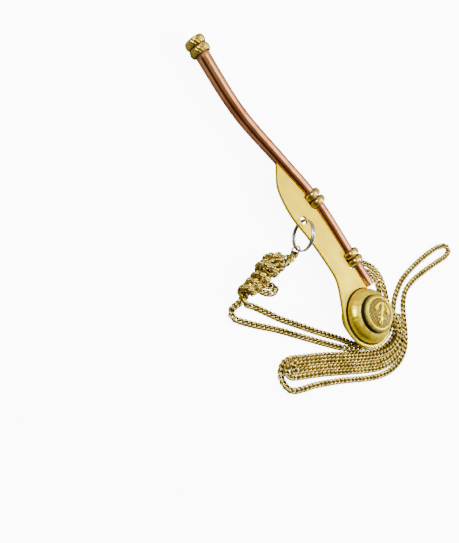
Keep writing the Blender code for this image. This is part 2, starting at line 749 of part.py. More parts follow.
WHISTLE = [obj for obj in PARTS.objects if obj.type != "EMPTY"]
LOWEST, _, _ = lowest_and_middle(WHISTLE)
CALL.location.z = -LOWEST
RING, LINK_END = split_ring(TABLE, CALL, RING_STEEL, CHAIN_BRASS)
_, MIDDLE_X, MIDDLE_Y = lowest_and_middle([*WHISTLE, RING])
TABLE.location = (-MIDDLE_X, -MIDDLE_Y, 0.0)

chain_runs(
    {"chain_upper_run": UPPER_RUN, "chain_right_loop": RIGHT_LOOP, "chain_outer_run": OUTER_RUN},
    TABLE,
    CHAIN_BRASS,
)
chain_runs({"chain_muzzle_loop": MUZZLE_LOOP, "chain_lower_run": LOWER_RUN}, TABLE, CHAIN_BRASS)
chain_runs({"chain_hank_tip": HANK_TIP}, TABLE, CHAIN_BRASS)
hank(TABLE, CHAIN_BRASS)
knot(TABLE, CHAIN_BRASS, LINK_END)
bpy.context.view_layer.update()
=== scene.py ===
"""The looks of a boatswain's call: a copper gun and a brass buoy on a brass keel, with a split
ring and a fine curb chain that lies folded beside it.

Each sub-assembly is a class that holds its sizes and makes its pieces. Lengths are in metres, and
+Z is up from the table. The call's own pieces are drawn in the call's frame, where X runs from the
buoy to the mouth and Z is the keel's normal, and then laid on the table.
"""

import logging
import math
from dataclasses import dataclass
from enum import Enum

import bmesh
import bpy
import numpy as np
from mathutils import Matrix, Vector


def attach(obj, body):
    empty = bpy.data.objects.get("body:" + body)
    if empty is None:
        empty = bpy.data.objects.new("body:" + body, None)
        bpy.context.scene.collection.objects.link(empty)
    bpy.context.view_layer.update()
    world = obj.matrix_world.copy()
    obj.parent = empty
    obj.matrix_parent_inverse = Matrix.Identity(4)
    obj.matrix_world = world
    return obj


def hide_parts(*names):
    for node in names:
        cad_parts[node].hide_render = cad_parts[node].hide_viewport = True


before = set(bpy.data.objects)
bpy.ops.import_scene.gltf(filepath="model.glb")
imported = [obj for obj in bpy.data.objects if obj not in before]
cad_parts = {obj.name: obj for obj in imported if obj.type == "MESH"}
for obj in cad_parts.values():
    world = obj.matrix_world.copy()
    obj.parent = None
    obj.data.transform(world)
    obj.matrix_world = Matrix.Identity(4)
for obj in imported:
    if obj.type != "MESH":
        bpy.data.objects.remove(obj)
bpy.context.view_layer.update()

LOG = logging.getLogger("boatswains_call")
MM = 0.001

Point = tuple[float, ...]


class Body(Enum):
    """The moving bodies of the call."""

    CALL = "call"
    LINK = "end_link"
    RING = "ring"


# --------------------------------------------------------------------------- curves and meshes


def smooth_line(points: list[Point], count: int, steps: int = 24) -> np.ndarray:
    """Points spaced evenly along the smooth curve through the given points.

    Args:
        points: The points to pass through. Anything after the first three numbers of a point is
            carried along with it.
        count: How many points to return.
        steps: How many points are worked out between two neighbours.

    Returns:
        An array of count rows.
    """
    knots = np.array([list(p) for p in points], float)
    knots = np.vstack([2 * knots[0] - knots[1], knots, 2 * knots[-1] - knots[-2]])
    dense = []
    for a, b, c, d in zip(knots[:-3], knots[1:-2], knots[2:-1], knots[3:]):
        chords = [np.linalg.norm((q - p)[:3]) for p, q in ((a, b), (b, c), (c, d))]
        s = np.cumsum([0.0, *np.sqrt(chords)])
        for t in np.linspace(s[1], s[2], steps, endpoint=False):
            ab, bc, cd = lean(a, b, s[0], s[1], t), lean(b, c, s[1], s[2], t), lean(
                c, d, s[2], s[3], t
            )
            dense.append(lean(
                lean(ab, bc, s[0], s[2], t), lean(bc, cd, s[1], s[3], t), s[1], s[2], t
            ))
    dense = np.array(dense + [knots[-2]])
    run = run_along(dense)
    wanted = np.linspace(0.0, run[-1], count)
    return np.stack([np.interp(wanted, run, dense[:, k]) for k in range(dense.shape[1])], axis=1)


def lean(p: np.ndarray, q: np.ndarray, start: float, end: float, t: float) -> np.ndarray:
    """The point at t on the straight line that is p at start and q at end."""
    return p + (q - p) * (t - start) / (end - start)


def run_along(line: np.ndarray) -> np.ndarray:
    """The distance along a line at each of its points."""
    return np.concatenate([[0.0], np.cumsum(np.linalg.norm(np.diff(line[:, :3], axis=0), axis=1))])


def unit(rows: np.ndarray) -> np.ndarray:
    """Each row as a direction of length 1."""
    return rows / np.maximum(np.linalg.norm(rows, axis=-1, keepdims=True), 1e-12)


def skin(name: str, rings: np.ndarray, closed: bool = False, caps: bool = True) -> bpy.types.Mesh:
    """A surface through rings of points.

    Args:
        name: The mesh's name.
        rings: An array of rings, points and coordinates. Each ring is a closed loop.
        closed: Whether the last ring joins the first.
        caps: Whether an open skin is filled at both ends.

    Returns:
        The mesh, smooth and facing outwards.
    """
    count, around, _ = rings.shape
    faces = []
    for i in range(count if closed else count - 1):
        near, far = i * around, ((i + 1) % count) * around
        for j in range(around):
            k = (j + 1) % around
            faces.append((near + j, near + k, far + k, far + j))
    if caps and not closed:
        faces.append(tuple(range(around))[::-1])
        faces.append(tuple((count - 1) * around + j for j in range(around)))
    mesh = bpy.data.meshes.new(name)
    mesh.from_pydata(rings.reshape(-1, 3).tolist(), [], faces)
    return tidy(mesh)


def tidy(mesh: bpy.types.Mesh, merge: float = 1e-6) -> bpy.types.Mesh:
    """Merges doubled points, turns the faces outwards and shades the mesh smooth.

    Args:
        mesh: The mesh to change.
        merge: How near two points have to be to become one.

    Returns:
        The same mesh.
    """
    shape = bmesh.new()
    shape.from_mesh(mesh)
    bmesh.ops.remove_doubles(shape, verts=shape.verts, dist=merge)
    bmesh.ops.dissolve_degenerate(shape, edges=shape.edges, dist=merge / 10)
    bmesh.ops.recalc_face_normals(shape, faces=shape.faces)
    shape.to_mesh(mesh)
    shape.free()
    mesh.shade_smooth()
    mesh.set_sharp_from_angle(angle=math.radians(38))
    return mesh


def tube(
    name: str, line: np.ndarray, radii: np.ndarray, sides: int, closed: bool = False
) -> bpy.types.Mesh:
    """A round wire along a line, with filled ends unless it is closed.

    Args:
        name: The mesh's name.
        line: The points of the wire's centre.
        radii: The wire's radius at each point.
        sides: How many points go round the wire.
        closed: Whether the wire joins itself.

    Returns:
        The mesh.
    """
    if closed:
        heading = unit(np.roll(line, -1, axis=0) - np.roll(line, 1, axis=0))
    else:
        heading = unit(np.gradient(line, axis=0))
    normal = np.zeros_like(line)
    side = np.cross(heading[0], (0.0, 0.0, 1.0))
    current = unit(side if np.linalg.norm(side) > 0.1 else np.cross(heading[0], (0.0, 1.0, 0.0)))
    for i, way in enumerate(heading):
        current = unit(current - way * np.dot(current, way))
        normal[i] = current
    other = np.cross(heading, normal)
    angles = np.linspace(0.0, 2 * math.pi, sides, endpoint=False)
    rings = (
        line[:, None]
        + normal[:, None] * (np.cos(angles)[None, :, None] * radii[:, None, None])
        + other[:, None] * (np.sin(angles)[None, :, None] * radii[:, None, None])
    )
    return skin(name, rings, closed)


def revolve(name: str, profile: np.ndarray, steps: int, shape=None) -> bpy.types.Mesh:
    """A closed section turned about Z.

    Args:
        name: The mesh's name.
        profile: Rows of radius and height that go round the section.
        steps: How many copies of the section there are.
        shape: A function of the angle, the place along the profile from 0 to 1, the radii and
            the heights, which returns new radii and heights.

    Returns:
        The mesh.
    """
    share = run_along(np.c_[profile, np.zeros(len(profile))])
    share /= share[-1]
    rings = []
    for angle in np.linspace(0.0, 2 * math.pi, steps, endpoint=False):
        radius, height = profile[:, 0], profile[:, 1]
        if shape is not None:
            radius, height = shape(angle, share, radius, height)
        rings.append(np.stack([radius * math.cos(angle), radius * math.sin(angle), height], axis=1))
    return skin(name, np.array(rings), closed=True)


def paint(mesh: bpy.types.Mesh, name: str, values: np.ndarray) -> None:
    """Stores a number from 0 to 1 on each point of a mesh, for its finish to read."""
    attribute = mesh.attributes.get(name) or mesh.attributes.new(name, "FLOAT", "POINT")
    attribute.data.foreach_set("value", np.clip(values, 0.0, 1.0).astype(np.float32))


def points_of(mesh: bpy.types.Mesh) -> np.ndarray:
    """The mesh's points as an array."""
    co = np.empty(len(mesh.vertices) * 3, np.float32)
    mesh.vertices.foreach_get("co", co)
    return co.reshape(-1, 3).astype(float)


def cut(mesh: bpy.types.Mesh, tool: bpy.types.Mesh) -> bpy.types.Mesh:
    """The mesh with the tool's shape cut out of it."""
    target = bpy.data.objects.new("target", mesh)
    cutter = bpy.data.objects.new("cutter", tool)
    for obj in (target, cutter):
        bpy.context.scene.collection.objects.link(obj)
    modifier = target.modifiers.new("Cut", "BOOLEAN")
    modifier.operation = "DIFFERENCE"
    modifier.object = cutter
    modifier.solver = "EXACT"
    made = evaluated_mesh(target, mesh.name)
    for obj in (target, cutter):
        bpy.data.objects.remove(obj, do_unlink=True)
    made.set_sharp_from_angle(angle=math.radians(38))
    return made


def evaluated_mesh(obj: bpy.types.Object, name: str) -> bpy.types.Mesh:
    """The object as its modifiers leave it, as a plain mesh."""
    bpy.context.view_layer.update()
    graph = bpy.context.evaluated_depsgraph_get()
    made = bpy.data.meshes.new_from_object(obj.evaluated_get(graph), depsgraph=graph)
    made.name = name
    return made


def smoothstep(value: np.ndarray, low: float, high: float) -> np.ndarray:
    """0 below low, 1 above high, and smooth between them. Low may be above high."""
    t = np.clip((value - low) / (high - low), 0.0, 1.0)
    return t * t * (3 - 2 * t)


# --------------------------------------------------------------------------- node trees


class Socket:
    """A node's output that can be used in sums with numbers and with other sockets."""

    def __init__(self, tree: "Tree", output: bpy.types.NodeSocket) -> None:
        """Wraps an output of a tree."""
        self.tree = tree
        self.output = output

    def _math(self, operation: str, *values: "Socket | float") -> "Socket":
        """A Math node of this operation."""
        node = self.tree.node(self.tree.maths, {"operation": operation}, dict(enumerate(values)))
        return Socket(self.tree, node.outputs[0])

    def __add__(self, other: "Socket | float") -> "Socket":
        """Sum."""
        return self._math("ADD", self, other)

    def __radd__(self, other: float) -> "Socket":
        """Sum, the other way round."""
        return self._math("ADD", other, self)

    def __sub__(self, other: "Socket | float") -> "Socket":
        """Difference."""
        return self._math("SUBTRACT", self, other)

    def __rsub__(self, other: float) -> "Socket":
        """Difference, the other way round."""
        return self._math("SUBTRACT", other, self)

    def __mul__(self, other: "Socket | float") -> "Socket":
        """Product."""
        return self._math("MULTIPLY", self, other)

    def __rmul__(self, other: float) -> "Socket":
        """Product, the other way round."""
        return self._math("MULTIPLY", other, self)

    def __truediv__(self, other: "Socket | float") -> "Socket":
        """Quotient."""
        return self._math("DIVIDE", self, other)

    def power(self, exponent: float) -> "Socket":
        """The value to this power."""
        return self._math("POWER", self, exponent)

    def between(self, low: float, high: float) -> "Socket":
        """0 at low, 1 at high, smooth between them and level outside."""
        settings = {"interpolation_type": "SMOOTHSTEP"}
        node = self.tree.node("ShaderNodeMapRange", settings, {
            "Value": self, "From Min": low, "From Max": high
        })
        return Socket(self.tree, node.outputs[0])


class Tree:
    """Adds nodes to a shader or geometry tree."""

    maths = "ShaderNodeMath"

    def __init__(self, tree: bpy.types.NodeTree) -> None:
        """Wraps a node tree."""
        self.tree = tree

    def node(
        self, kind: str, settings: dict | None = None, inputs: dict | None = None
    ) -> bpy.types.Node:
        """Adds one node.

        Args:
            kind: The node's type.
            settings: Its properties, set before its sockets.
            inputs: Values or sockets by the input's name or index.

        Returns:
            The node.
        """
        made = self.tree.nodes.new(kind)
        for name, value in (settings or {}).items():
            setattr(made, name, value)
        for key, value in (inputs or {}).items():
            if isinstance(value, Socket):
                value = value.output
            if isinstance(value, bpy.types.NodeSocket):
                self.tree.links.new(value, made.inputs[key])
            else:
                made.inputs[key].default_value = value
        return made

    def out(
        self,
        kind: str,
        settings: dict | None = None,
        inputs: dict | None = None,
        output: str | int = 0,
    ) -> Socket:
        """Adds one node and wraps one of its outputs."""
        return Socket(self, self.node(kind, settings, inputs).outputs[output])

    def blend(self, share: Socket | float, first: Socket | Point, second: Socket | Point) -> Socket:
        """A colour between two colours."""
        settings = {"data_type": "RGBA", "clamp_factor": True}
        node = self.node("ShaderNodeMix", settings)
        colour_inputs = [s for s in node.inputs if s.type == "RGBA"]
        for socket, value in ((node.inputs[0], share), (colour_inputs[0], first), (
            colour_inputs[1], second
        )):
            if isinstance(value, Socket):
                self.tree.links.new(value.output, socket)
            else:
                socket.default_value = (*value, 1.0) if isinstance(value, tuple) else value
        return Socket(self, next(s for s in node.outputs if s.type == "RGBA"))


@dataclass
class CallFrame:
    """Where the call's own frame lies in the row frame."""

    keel_thickness: float = 1.2 * MM
    gap: float = 0.25 * MM
    dome_height: float = 4.75 * MM
    cap_edge: float = 0.45 * MM
    cap_crown: float = 1.3 * MM
    cap_flat: float = 2.2 * MM
    mouth_x: float = 113.2 * MM
    mouth_ring_radius: float = 3.75 * MM
    mouth_ring_width: float = 2.7 * MM
    table_x: float = -51.0532 * MM
    table_y: float = 2.2412 * MM
    lift: float = 7.68129 * MM

    def tip(self) -> float:
        """The angle that lays both the mouth's ring and the back cap on the table."""
        cap = (
            self.keel_thickness
            / 2 + 2
            * self.gap + self.dome_height + self.cap_edge + self.cap_crown
        )
        reach = self.mouth_x - self.mouth_ring_width / 2 - self.cap_flat
        return math.atan((cap - self.mouth_ring_radius) / reach)

    def matrix(self) -> Matrix:
        """Takes the call's frame to the row frame."""
        place = Matrix.Translation((self.table_x, self.table_y, self.lift))
        return place @ Matrix.Rotation(self.tip(), 4, "Y")

    def table(self) -> np.ndarray:
        """The point of the table under the buoy's centre."""
        return np.array([self.table_x, self.table_y, 0.0])


# --------------------------------------------------------------------------- finishes


@dataclass(frozen=True)
class Metal:
    """A metal finish: two tints of the metal, tarnish in patches, a dark colour painted as shade
    where a piece's mask asks for it, with a little grime, fine marks.

    The scales are in waves per metre, and the stretch makes the fine marks long along X.
    """

    name: str
    tint: Point
    shade: Point
    tarnish: Point
    # Colour painted as shade into crevices, feet and undersides, and as a little grime.
    shade_and_grime: Point
    roughness: float = 0.2
    patch_scale: float = 160.0
    patch_amount: float = 0.4
    mark_scale: float = 900.0
    mark_stretch: Point = (0.08, 1.0, 1.0)
    mark_depth: float = 0.00002
    dent_scale: float = 420.0
    dent_depth: float = 0.00004
    mottle: float = 0.25
    foot_shade_centre: Point = ()
    foot_shade_radius: float = 0.0
    foot_shade_width: float = 0.0

    def make(self) -> bpy.types.Material:
        """Builds the material.

        Returns:
            A material whose colour, roughness and bump vary over the surface.
        """
        made = bpy.data.materials.new(self.name)
        made.use_nodes = True
        tree = Tree(made.node_tree)
        shader = made.node_tree.nodes["Principled BSDF"]
        place = tree.out("ShaderNodeTexCoord", output="Object")
        patches = self._noise(tree, place, self.patch_scale, 5.0)
        speckle = self._noise(tree, place, self.patch_scale * 6.5, 3.0)
        along = tree.out("ShaderNodeMapping", None, {"Vector": place, "Scale": self.mark_stretch})
        marks = self._noise(tree, along, self.mark_scale, 4.0)
        dents = self._noise(tree, place, self.dent_scale, 1.0)
        # The mask holds painted shade: crevices, feet and undersides of pieces and the insides of
        # chain links, with some grime.
        hollow = tree.out("ShaderNodeAttribute", {"attribute_name": "shade_and_grime"}, output="Fac")
        if self.foot_shade_centre:
            hollow = hollow + self._foot_shade(tree, place)

        drift = patches.between(0.35, 0.68)
        colour = tree.blend(drift, self.tint, self.shade)
        spots = (patches * 0.55 + speckle * 0.45).between(0.5, 0.72) * self.patch_amount
        colour = tree.blend(spots, colour, self.tarnish)
        streaks = marks.between(0.45, 0.8) * self.mottle
        colour = tree.blend(streaks, colour, self.tarnish)
        # Painted shade where the mask is high, and a little speckled grime.
        dirt_and_shade = (hollow * 1.25 + speckle * 0.35 - 0.2).between(0.05, 0.85)
        colour = tree.blend(dirt_and_shade, colour, self.shade_and_grime)
        made.node_tree.links.new(colour.output, shader.inputs["Base Color"])

        rough = self.roughness + spots * 0.16 + marks * 0.1 + dirt_and_shade * 0.32
        made.node_tree.links.new(rough.output, shader.inputs["Roughness"])
        metallic = 1.0 - dirt_and_shade * 0.45
        made.node_tree.links.new(metallic.output, shader.inputs["Metallic"])

        height = marks * self.mark_depth + dents * self.dent_depth
        bump = tree.node("ShaderNodeBump", None, {
            "Strength": 1.0, "Distance": 1.0, "Height": height
        })
        made.node_tree.links.new(bump.outputs[0], shader.inputs["Normal"])
        return made

    def _foot_shade(self, tree: Tree, place: Socket) -> Socket:
        """A ring of painted shade round the dome's foot: 1 inside a circle round an upright axis,
        fading to 0 just outside it.
        """
        from_axis = tree.out("ShaderNodeVectorMath", {"operation": "SUBTRACT"}, {
            0: place, 1: self.foot_shade_centre
        })
        level = tree.out("ShaderNodeVectorMath", {"operation": "MULTIPLY"}, {
            0: from_axis, 1: (1.0, 1.0, 0.0)
        })
        distance = tree.out("ShaderNodeVectorMath", {"operation": "LENGTH"}, {0: level}, "Value")
        return 1.0 - distance.between(self.foot_shade_radius, self.foot_shade_radius + self.foot_shade_width)

    @staticmethod
    def _noise(tree: Tree, place: Socket, scale: float, detail: float) -> Socket:
        """Noise of this scale at this place."""
        return tree.out(
            "ShaderNodeTexNoise", None, {
                "Vector": place, "Scale": scale, "Detail": detail, "Roughness": 0.55
            }
        )


COPPER = Metal(
    name="copper_pipe",
    tint=(0.78, 0.34, 0.13),
    shade=(0.50, 0.17, 0.06),
    tarnish=(0.20, 0.055, 0.02),
    shade_and_grime=(0.02, 0.008, 0.004),
    roughness=0.13,
    patch_scale=90.0,
    patch_amount=0.4,
    mark_stretch=(0.03, 1.0, 1.0),
    mottle=0.3,
    dent_depth=1e-05,
)
KEEL_BRASS = Metal(
    name="keel_brass",
    tint=(0.80, 0.62, 0.004),
    shade=(0.74, 0.52, 0.002),
    tarnish=(0.46, 0.29, 0.002),
    shade_and_grime=(0.03, 0.02, 0.005),
    roughness=0.5,
    # A ring of painted shade on the keel round the foot of the buoy's dome.
    foot_shade_centre=(CallFrame.table_x, CallFrame.table_y, 0.0),
    foot_shade_radius=10.5 * MM,
    foot_shade_width=0.5 * MM,
    patch_scale=130.0,
    patch_amount=0.3,
    dent_depth=2e-05,
)
BAND_BRASS = Metal(
    name="band_brass",
    tint=(0.86, 0.64, 0.13),
    shade=(0.56, 0.38, 0.06),
    tarnish=(0.20, 0.13, 0.02),
    shade_and_grime=(0.015, 0.01, 0.004),
    roughness=0.18,
    patch_scale=420.0,
    dent_scale=700.0,
    dent_depth=6e-05,
)
ROPE_BRASS = Metal(
    name="rope_brass",
    tint=(0.74, 0.53, 0.09),
    shade=(0.44, 0.30, 0.04),
    tarnish=(0.13, 0.08, 0.012),
    shade_and_grime=(0.015, 0.01, 0.004),
    roughness=0.25,
    patch_scale=380.0,
    dent_scale=900.0,
    dent_depth=9e-05,
)
BUOY_BRASS = Metal(
    name="buoy_brass",
    tint=(0.97, 0.76, 0.01),
    shade=(0.86, 0.62, 0.008),
    tarnish=(0.50, 0.30, 0.004),
    shade_and_grime=(0.02, 0.012, 0.003),
    roughness=0.3,
    patch_scale=230.0,
    patch_amount=0.55,
    mark_stretch=(1.0, 1.0, 0.3),
    dent_scale=520.0,
    dent_depth=0.00016,
)
CAP_BRASS = Metal(
    name="cap_brass",
    tint=(0.95, 0.76, 0.02),
    shade=(0.84, 0.62, 0.01),
    tarnish=(0.44, 0.28, 0.006),
    shade_and_grime=(0.09, 0.055, 0.004),
    roughness=0.24,
    patch_scale=300.0,
    patch_amount=0.4,
    mark_stretch=(1.0, 1.0, 1.0),
    dent_scale=800.0,
    dent_depth=0.0001,
)
RING_WIRE = Metal(
    name="ring_wire",
    tint=(0.62, 0.59, 0.50),
    shade=(0.42, 0.39, 0.31),
    tarnish=(0.12, 0.10, 0.07),
    shade_and_grime=(0.02, 0.017, 0.012),
    roughness=0.22,
    patch_scale=400.0,
)
CHAIN_BRASS = Metal(
    name="chain_brass",
    tint=(0.74, 0.56, 0.13),
    shade=(0.42, 0.30, 0.045),
    tarnish=(0.10, 0.065, 0.01),
    shade_and_grime=(0.008, 0.006, 0.003),
    roughness=0.2,
    patch_scale=260.0,
    patch_amount=0.45,
)


# --------------------------------------------------------------------------- pieces


def show(
    name: str,
    mesh: bpy.types.Mesh,
    material: bpy.types.Material,
    body: Body,
    replaces: tuple[str, ...] = (),
) -> bpy.types.Object:
    """Adds a finished mesh as a piece of the object.

    Args:
        name: The piece's name.
        mesh: Its mesh, in place.
        material: Its finish.
        body: The body that it rides on.
        replaces: The CAD nodes that it stands for.

    Returns:
        The piece.
    """
    mesh.materials.clear()
    mesh.materials.append(material)
    made = bpy.data.objects.new(name, mesh)
    bpy.context.scene.collection.objects.link(made)
    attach(made, body.value)
    if replaces:
        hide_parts(*replaces)
    LOG.info("%s: %d faces on %s", name, len(mesh.polygons), body.value)
    return made


@dataclass
class Gun:
    """The bent copper pipe."""

    call: CallFrame
    muzzle: Point = (7.3 * MM, -10.0 * MM)
    lower_band: Point = (19.7 * MM, -10.9 * MM)
    upper_band: Point = (45.6 * MM, -12.5 * MM)
    keel_tip: Point = (64.0 * MM, -10.2 * MM)
    stem_crest: Point = (86.0 * MM, -7.5 * MM)
    mouth: Point = (113.2 * MM, -10.0 * MM)
    muzzle_radius: float = 1.95 * MM
    mouth_radius: float = 2.65 * MM
    wall: float = 0.55 * MM
    lip: float = 0.12 * MM

    def line(self, count: int = 220) -> np.ndarray:
        """The centre line from muzzle to mouth."""
        stations = (
            self.muzzle,
            self.lower_band,
            self.upper_band,
            self.keel_tip,
            self.stem_crest,
            self.mouth,
        )
        return smooth_line([(x, y, 0.0) for x, y in stations], count)

    def at(self, x: float) -> tuple[float, float, float]:
        """The gun's offset, heading and outer radius at this distance from the buoy."""
        line = self.line()
        y = float(np.interp(x, line[:, 0], line[:, 1]))
        slope = float(np.interp(x, line[:, 0], np.gradient(line[:, 1], line[:, 0])))
        share = (x - self.muzzle[0]) / (self.mouth[0] - self.muzzle[0])
        return (
            y, math.atan(slope), self.muzzle_radius
            + (self.mouth_radius - self.muzzle_radius) * share
        )

    def build(self, material: bpy.types.Material) -> None:
        """Makes the pipe, with its bore open from end to end."""
        line = self.line()
        heading = unit(np.gradient(line, axis=0))
        radii = np.interp(line[:, 0], (self.muzzle[0], self.mouth[0]), (
            self.muzzle_radius, self.mouth_radius
        ))
        side = np.cross(heading, (0.0, 0.0, 1.0))
        angles = np.linspace(0.0, 2 * math.pi, 56, endpoint=False)
        spokes = (
            np.cos(angles)[None, :, None] * side[:, None]
            + np.sin(angles)[None, :, None] * np.array([0.0, 0.0, 1.0])
        )
        outer = line[:, None] + spokes * radii[:, None, None]
        inner = line[:, None] + spokes * (radii - self.wall)[:, None, None]
        rings = [*self._lip(line[0], -heading[0], spokes[0], radii[0])[::-1], *outer]
        rings += [*self._lip(line[-1], heading[-1], spokes[-1], radii[-1]), *inner[::-1]]
        mesh = skin("gun", np.array(rings), closed=True)
        # Painted shade: the pipe darkened beside each band and from just before the mouth's rings
        # to the mouth, where the rings shade it.
        shade_and_grime = np.zeros(len(mesh.vertices))
        co = points_of(mesh)
        for x in (self.lower_band[0], self.upper_band[0]):
            shade_and_grime += 0.5 * smoothstep(np.abs(co[:, 0] - x), 4.2 * MM, 2.6 * MM)
        shade_and_grime += 0.45 * smoothstep(co[:, 0], self.mouth[0] - 7.5 * MM, self.mouth[0] - 5.6 * MM)
        paint(mesh, "shade_and_grime", shade_and_grime)
        mesh.transform(self.call.matrix())
        show("gun", mesh, material, Body.CALL, ("gun_tube",))

    def _lip(
        self, end: np.ndarray, out: np.ndarray, spokes: np.ndarray, radius: float
    ) -> list[np.ndarray]:
        """Rings that round the pipe's end from its outside to its bore."""
        rings = []
        half = self.wall / 2
        for angle in np.linspace(0.15, math.pi - 0.15, 5):
            reach = radius - half + half * math.cos(angle)
            rings.append(end + out * self.lip * math.sin(angle) + spokes * reach)
        return rings


@dataclass
class Keel:
    """The flat plate between the gun and the buoy."""

    call: CallFrame
    gun: Gun
    free_edge: tuple[Point, ...] = (
        (57.6 * MM, -1.8 * MM),
        (52.0 * MM, 0.2 * MM),
        (45.0 * MM, 1.1 * MM),
        (36.0 * MM, 0.6 * MM),
        (26.0 * MM, 0.8 * MM),
        (19.0 * MM, 1.5 * MM),
    )
    flare: float = 16.0 * MM
    flare_dip: float = 2.3 * MM
    disc_radius: float = 11.6 * MM
    neck_angle: float = math.radians(49.0)
    end_angle: float = math.radians(282.0)
    window: float = 6.0 * MM
    hole: Point = (42.5 * MM, -2.2 * MM)
    hole_radius: float = 1.5 * MM
    edge_round: float = 0.12 * MM
    tip_flat: float = 1.0 * MM
    band_radius: float = 3.55 * MM
    band_half: float = 3.0 * MM

    def outline(self) -> list[Point]:
        """The outline: up the free edge, round the disc, and back along the gun."""
        gap, tip_x = self.call.gap, self.gun.keel_tip[0]
        y, _, radius = self.gun.at(tip_x)
        corner = (self.disc_radius * math.cos(self.neck_angle), self.disc_radius * math.sin(
            self.neck_angle
        ))
        flare = (self.flare, (self.free_edge[-1][1] + corner[1]) / 2 - self.flare_dip)
        knots = [(tip_x, y + radius + gap), *self.free_edge, flare, corner]
        free = smooth_line([(*p, 0.0) for p in knots], 150)[:, :2]
        angles = np.linspace(self.neck_angle, self.end_angle, 170)[1:]
        disc = self.disc_radius * np.stack([np.cos(angles), np.sin(angles)], axis=1)
        near, far = self.gun.muzzle[0] - 2 * gap, tip_x - self.tip_flat
        bands = [(x - self.band_half, x + self.band_half) for x in (
            self.gun.lower_band[0], self.gun.upper_band[0]
        )]
        stations = list(np.linspace(near, far, 90))
        for edge in (edge for band in bands for edge in band):
            stations += [edge - gap / 4, edge + gap / 4]
        along = []
        for x in sorted(stations):
            y, slope, radius = self.gun.at(x)
            clear = self.band_radius if any(low < x < high for low, high in bands) else radius
            along.append((x, y + clear / math.cos(slope) + gap))
        return [tuple(p) for p in free] + [tuple(p) for p in disc] + along

    def build(self, material: bpy.types.Material, sound_hole: bpy.types.Mesh) -> None:
        """Makes the plate: rounded edges, ring hole, window and the sound hole's notch."""
        curve = bpy.data.curves.new("keel", "CURVE")
        curve.dimensions = "2D"
        curve.fill_mode = "BOTH"
        curve.extrude = self.call.keel_thickness / 2 - self.edge_round
        curve.bevel_depth = self.edge_round
        curve.bevel_resolution = 3
        curve.offset = -self.edge_round
        loops = (self.outline(), self._circle((0.0, 0.0), self.window, 96), self._circle(
            self.hole, self.hole_radius, 48
        ))
        for loop in loops:
            spline = curve.splines.new("POLY")
            spline.points.add(len(loop) - 1)
            for point, (x, y) in zip(spline.points, loop):
                point.co = (x, y, 0.0, 1.0)
            spline.use_cyclic_u = True
        drawn = bpy.data.objects.new("keel_curve", curve)
        bpy.context.scene.collection.objects.link(drawn)
        mesh = tidy(evaluated_mesh(drawn, "keel"))
        bpy.data.objects.remove(drawn, do_unlink=True)
        mesh = cut(mesh, sound_hole)
        paint(mesh, "shade_and_grime", np.zeros(len(mesh.vertices)))
        for face in mesh.polygons:
            face.use_smooth = abs(face.normal.z) < 0.99
        mesh.transform(self.call.matrix())
        show("keel", mesh, material, Body.CALL, ("keel_plate",))

    @staticmethod
    def _circle(centre: Point, radius: float, count: int) -> list[Point]:
        """Points round a circle."""
        angles = np.linspace(0.0, 2 * math.pi, count, endpoint=False)
        return [
            (centre[0] + radius * math.cos(a), centre[1] + radius * math.sin(a)) for a in angles
        ]


class Side(Enum):
    """The two sides of the keel."""

    FRONT = "front"
    BACK = "back"


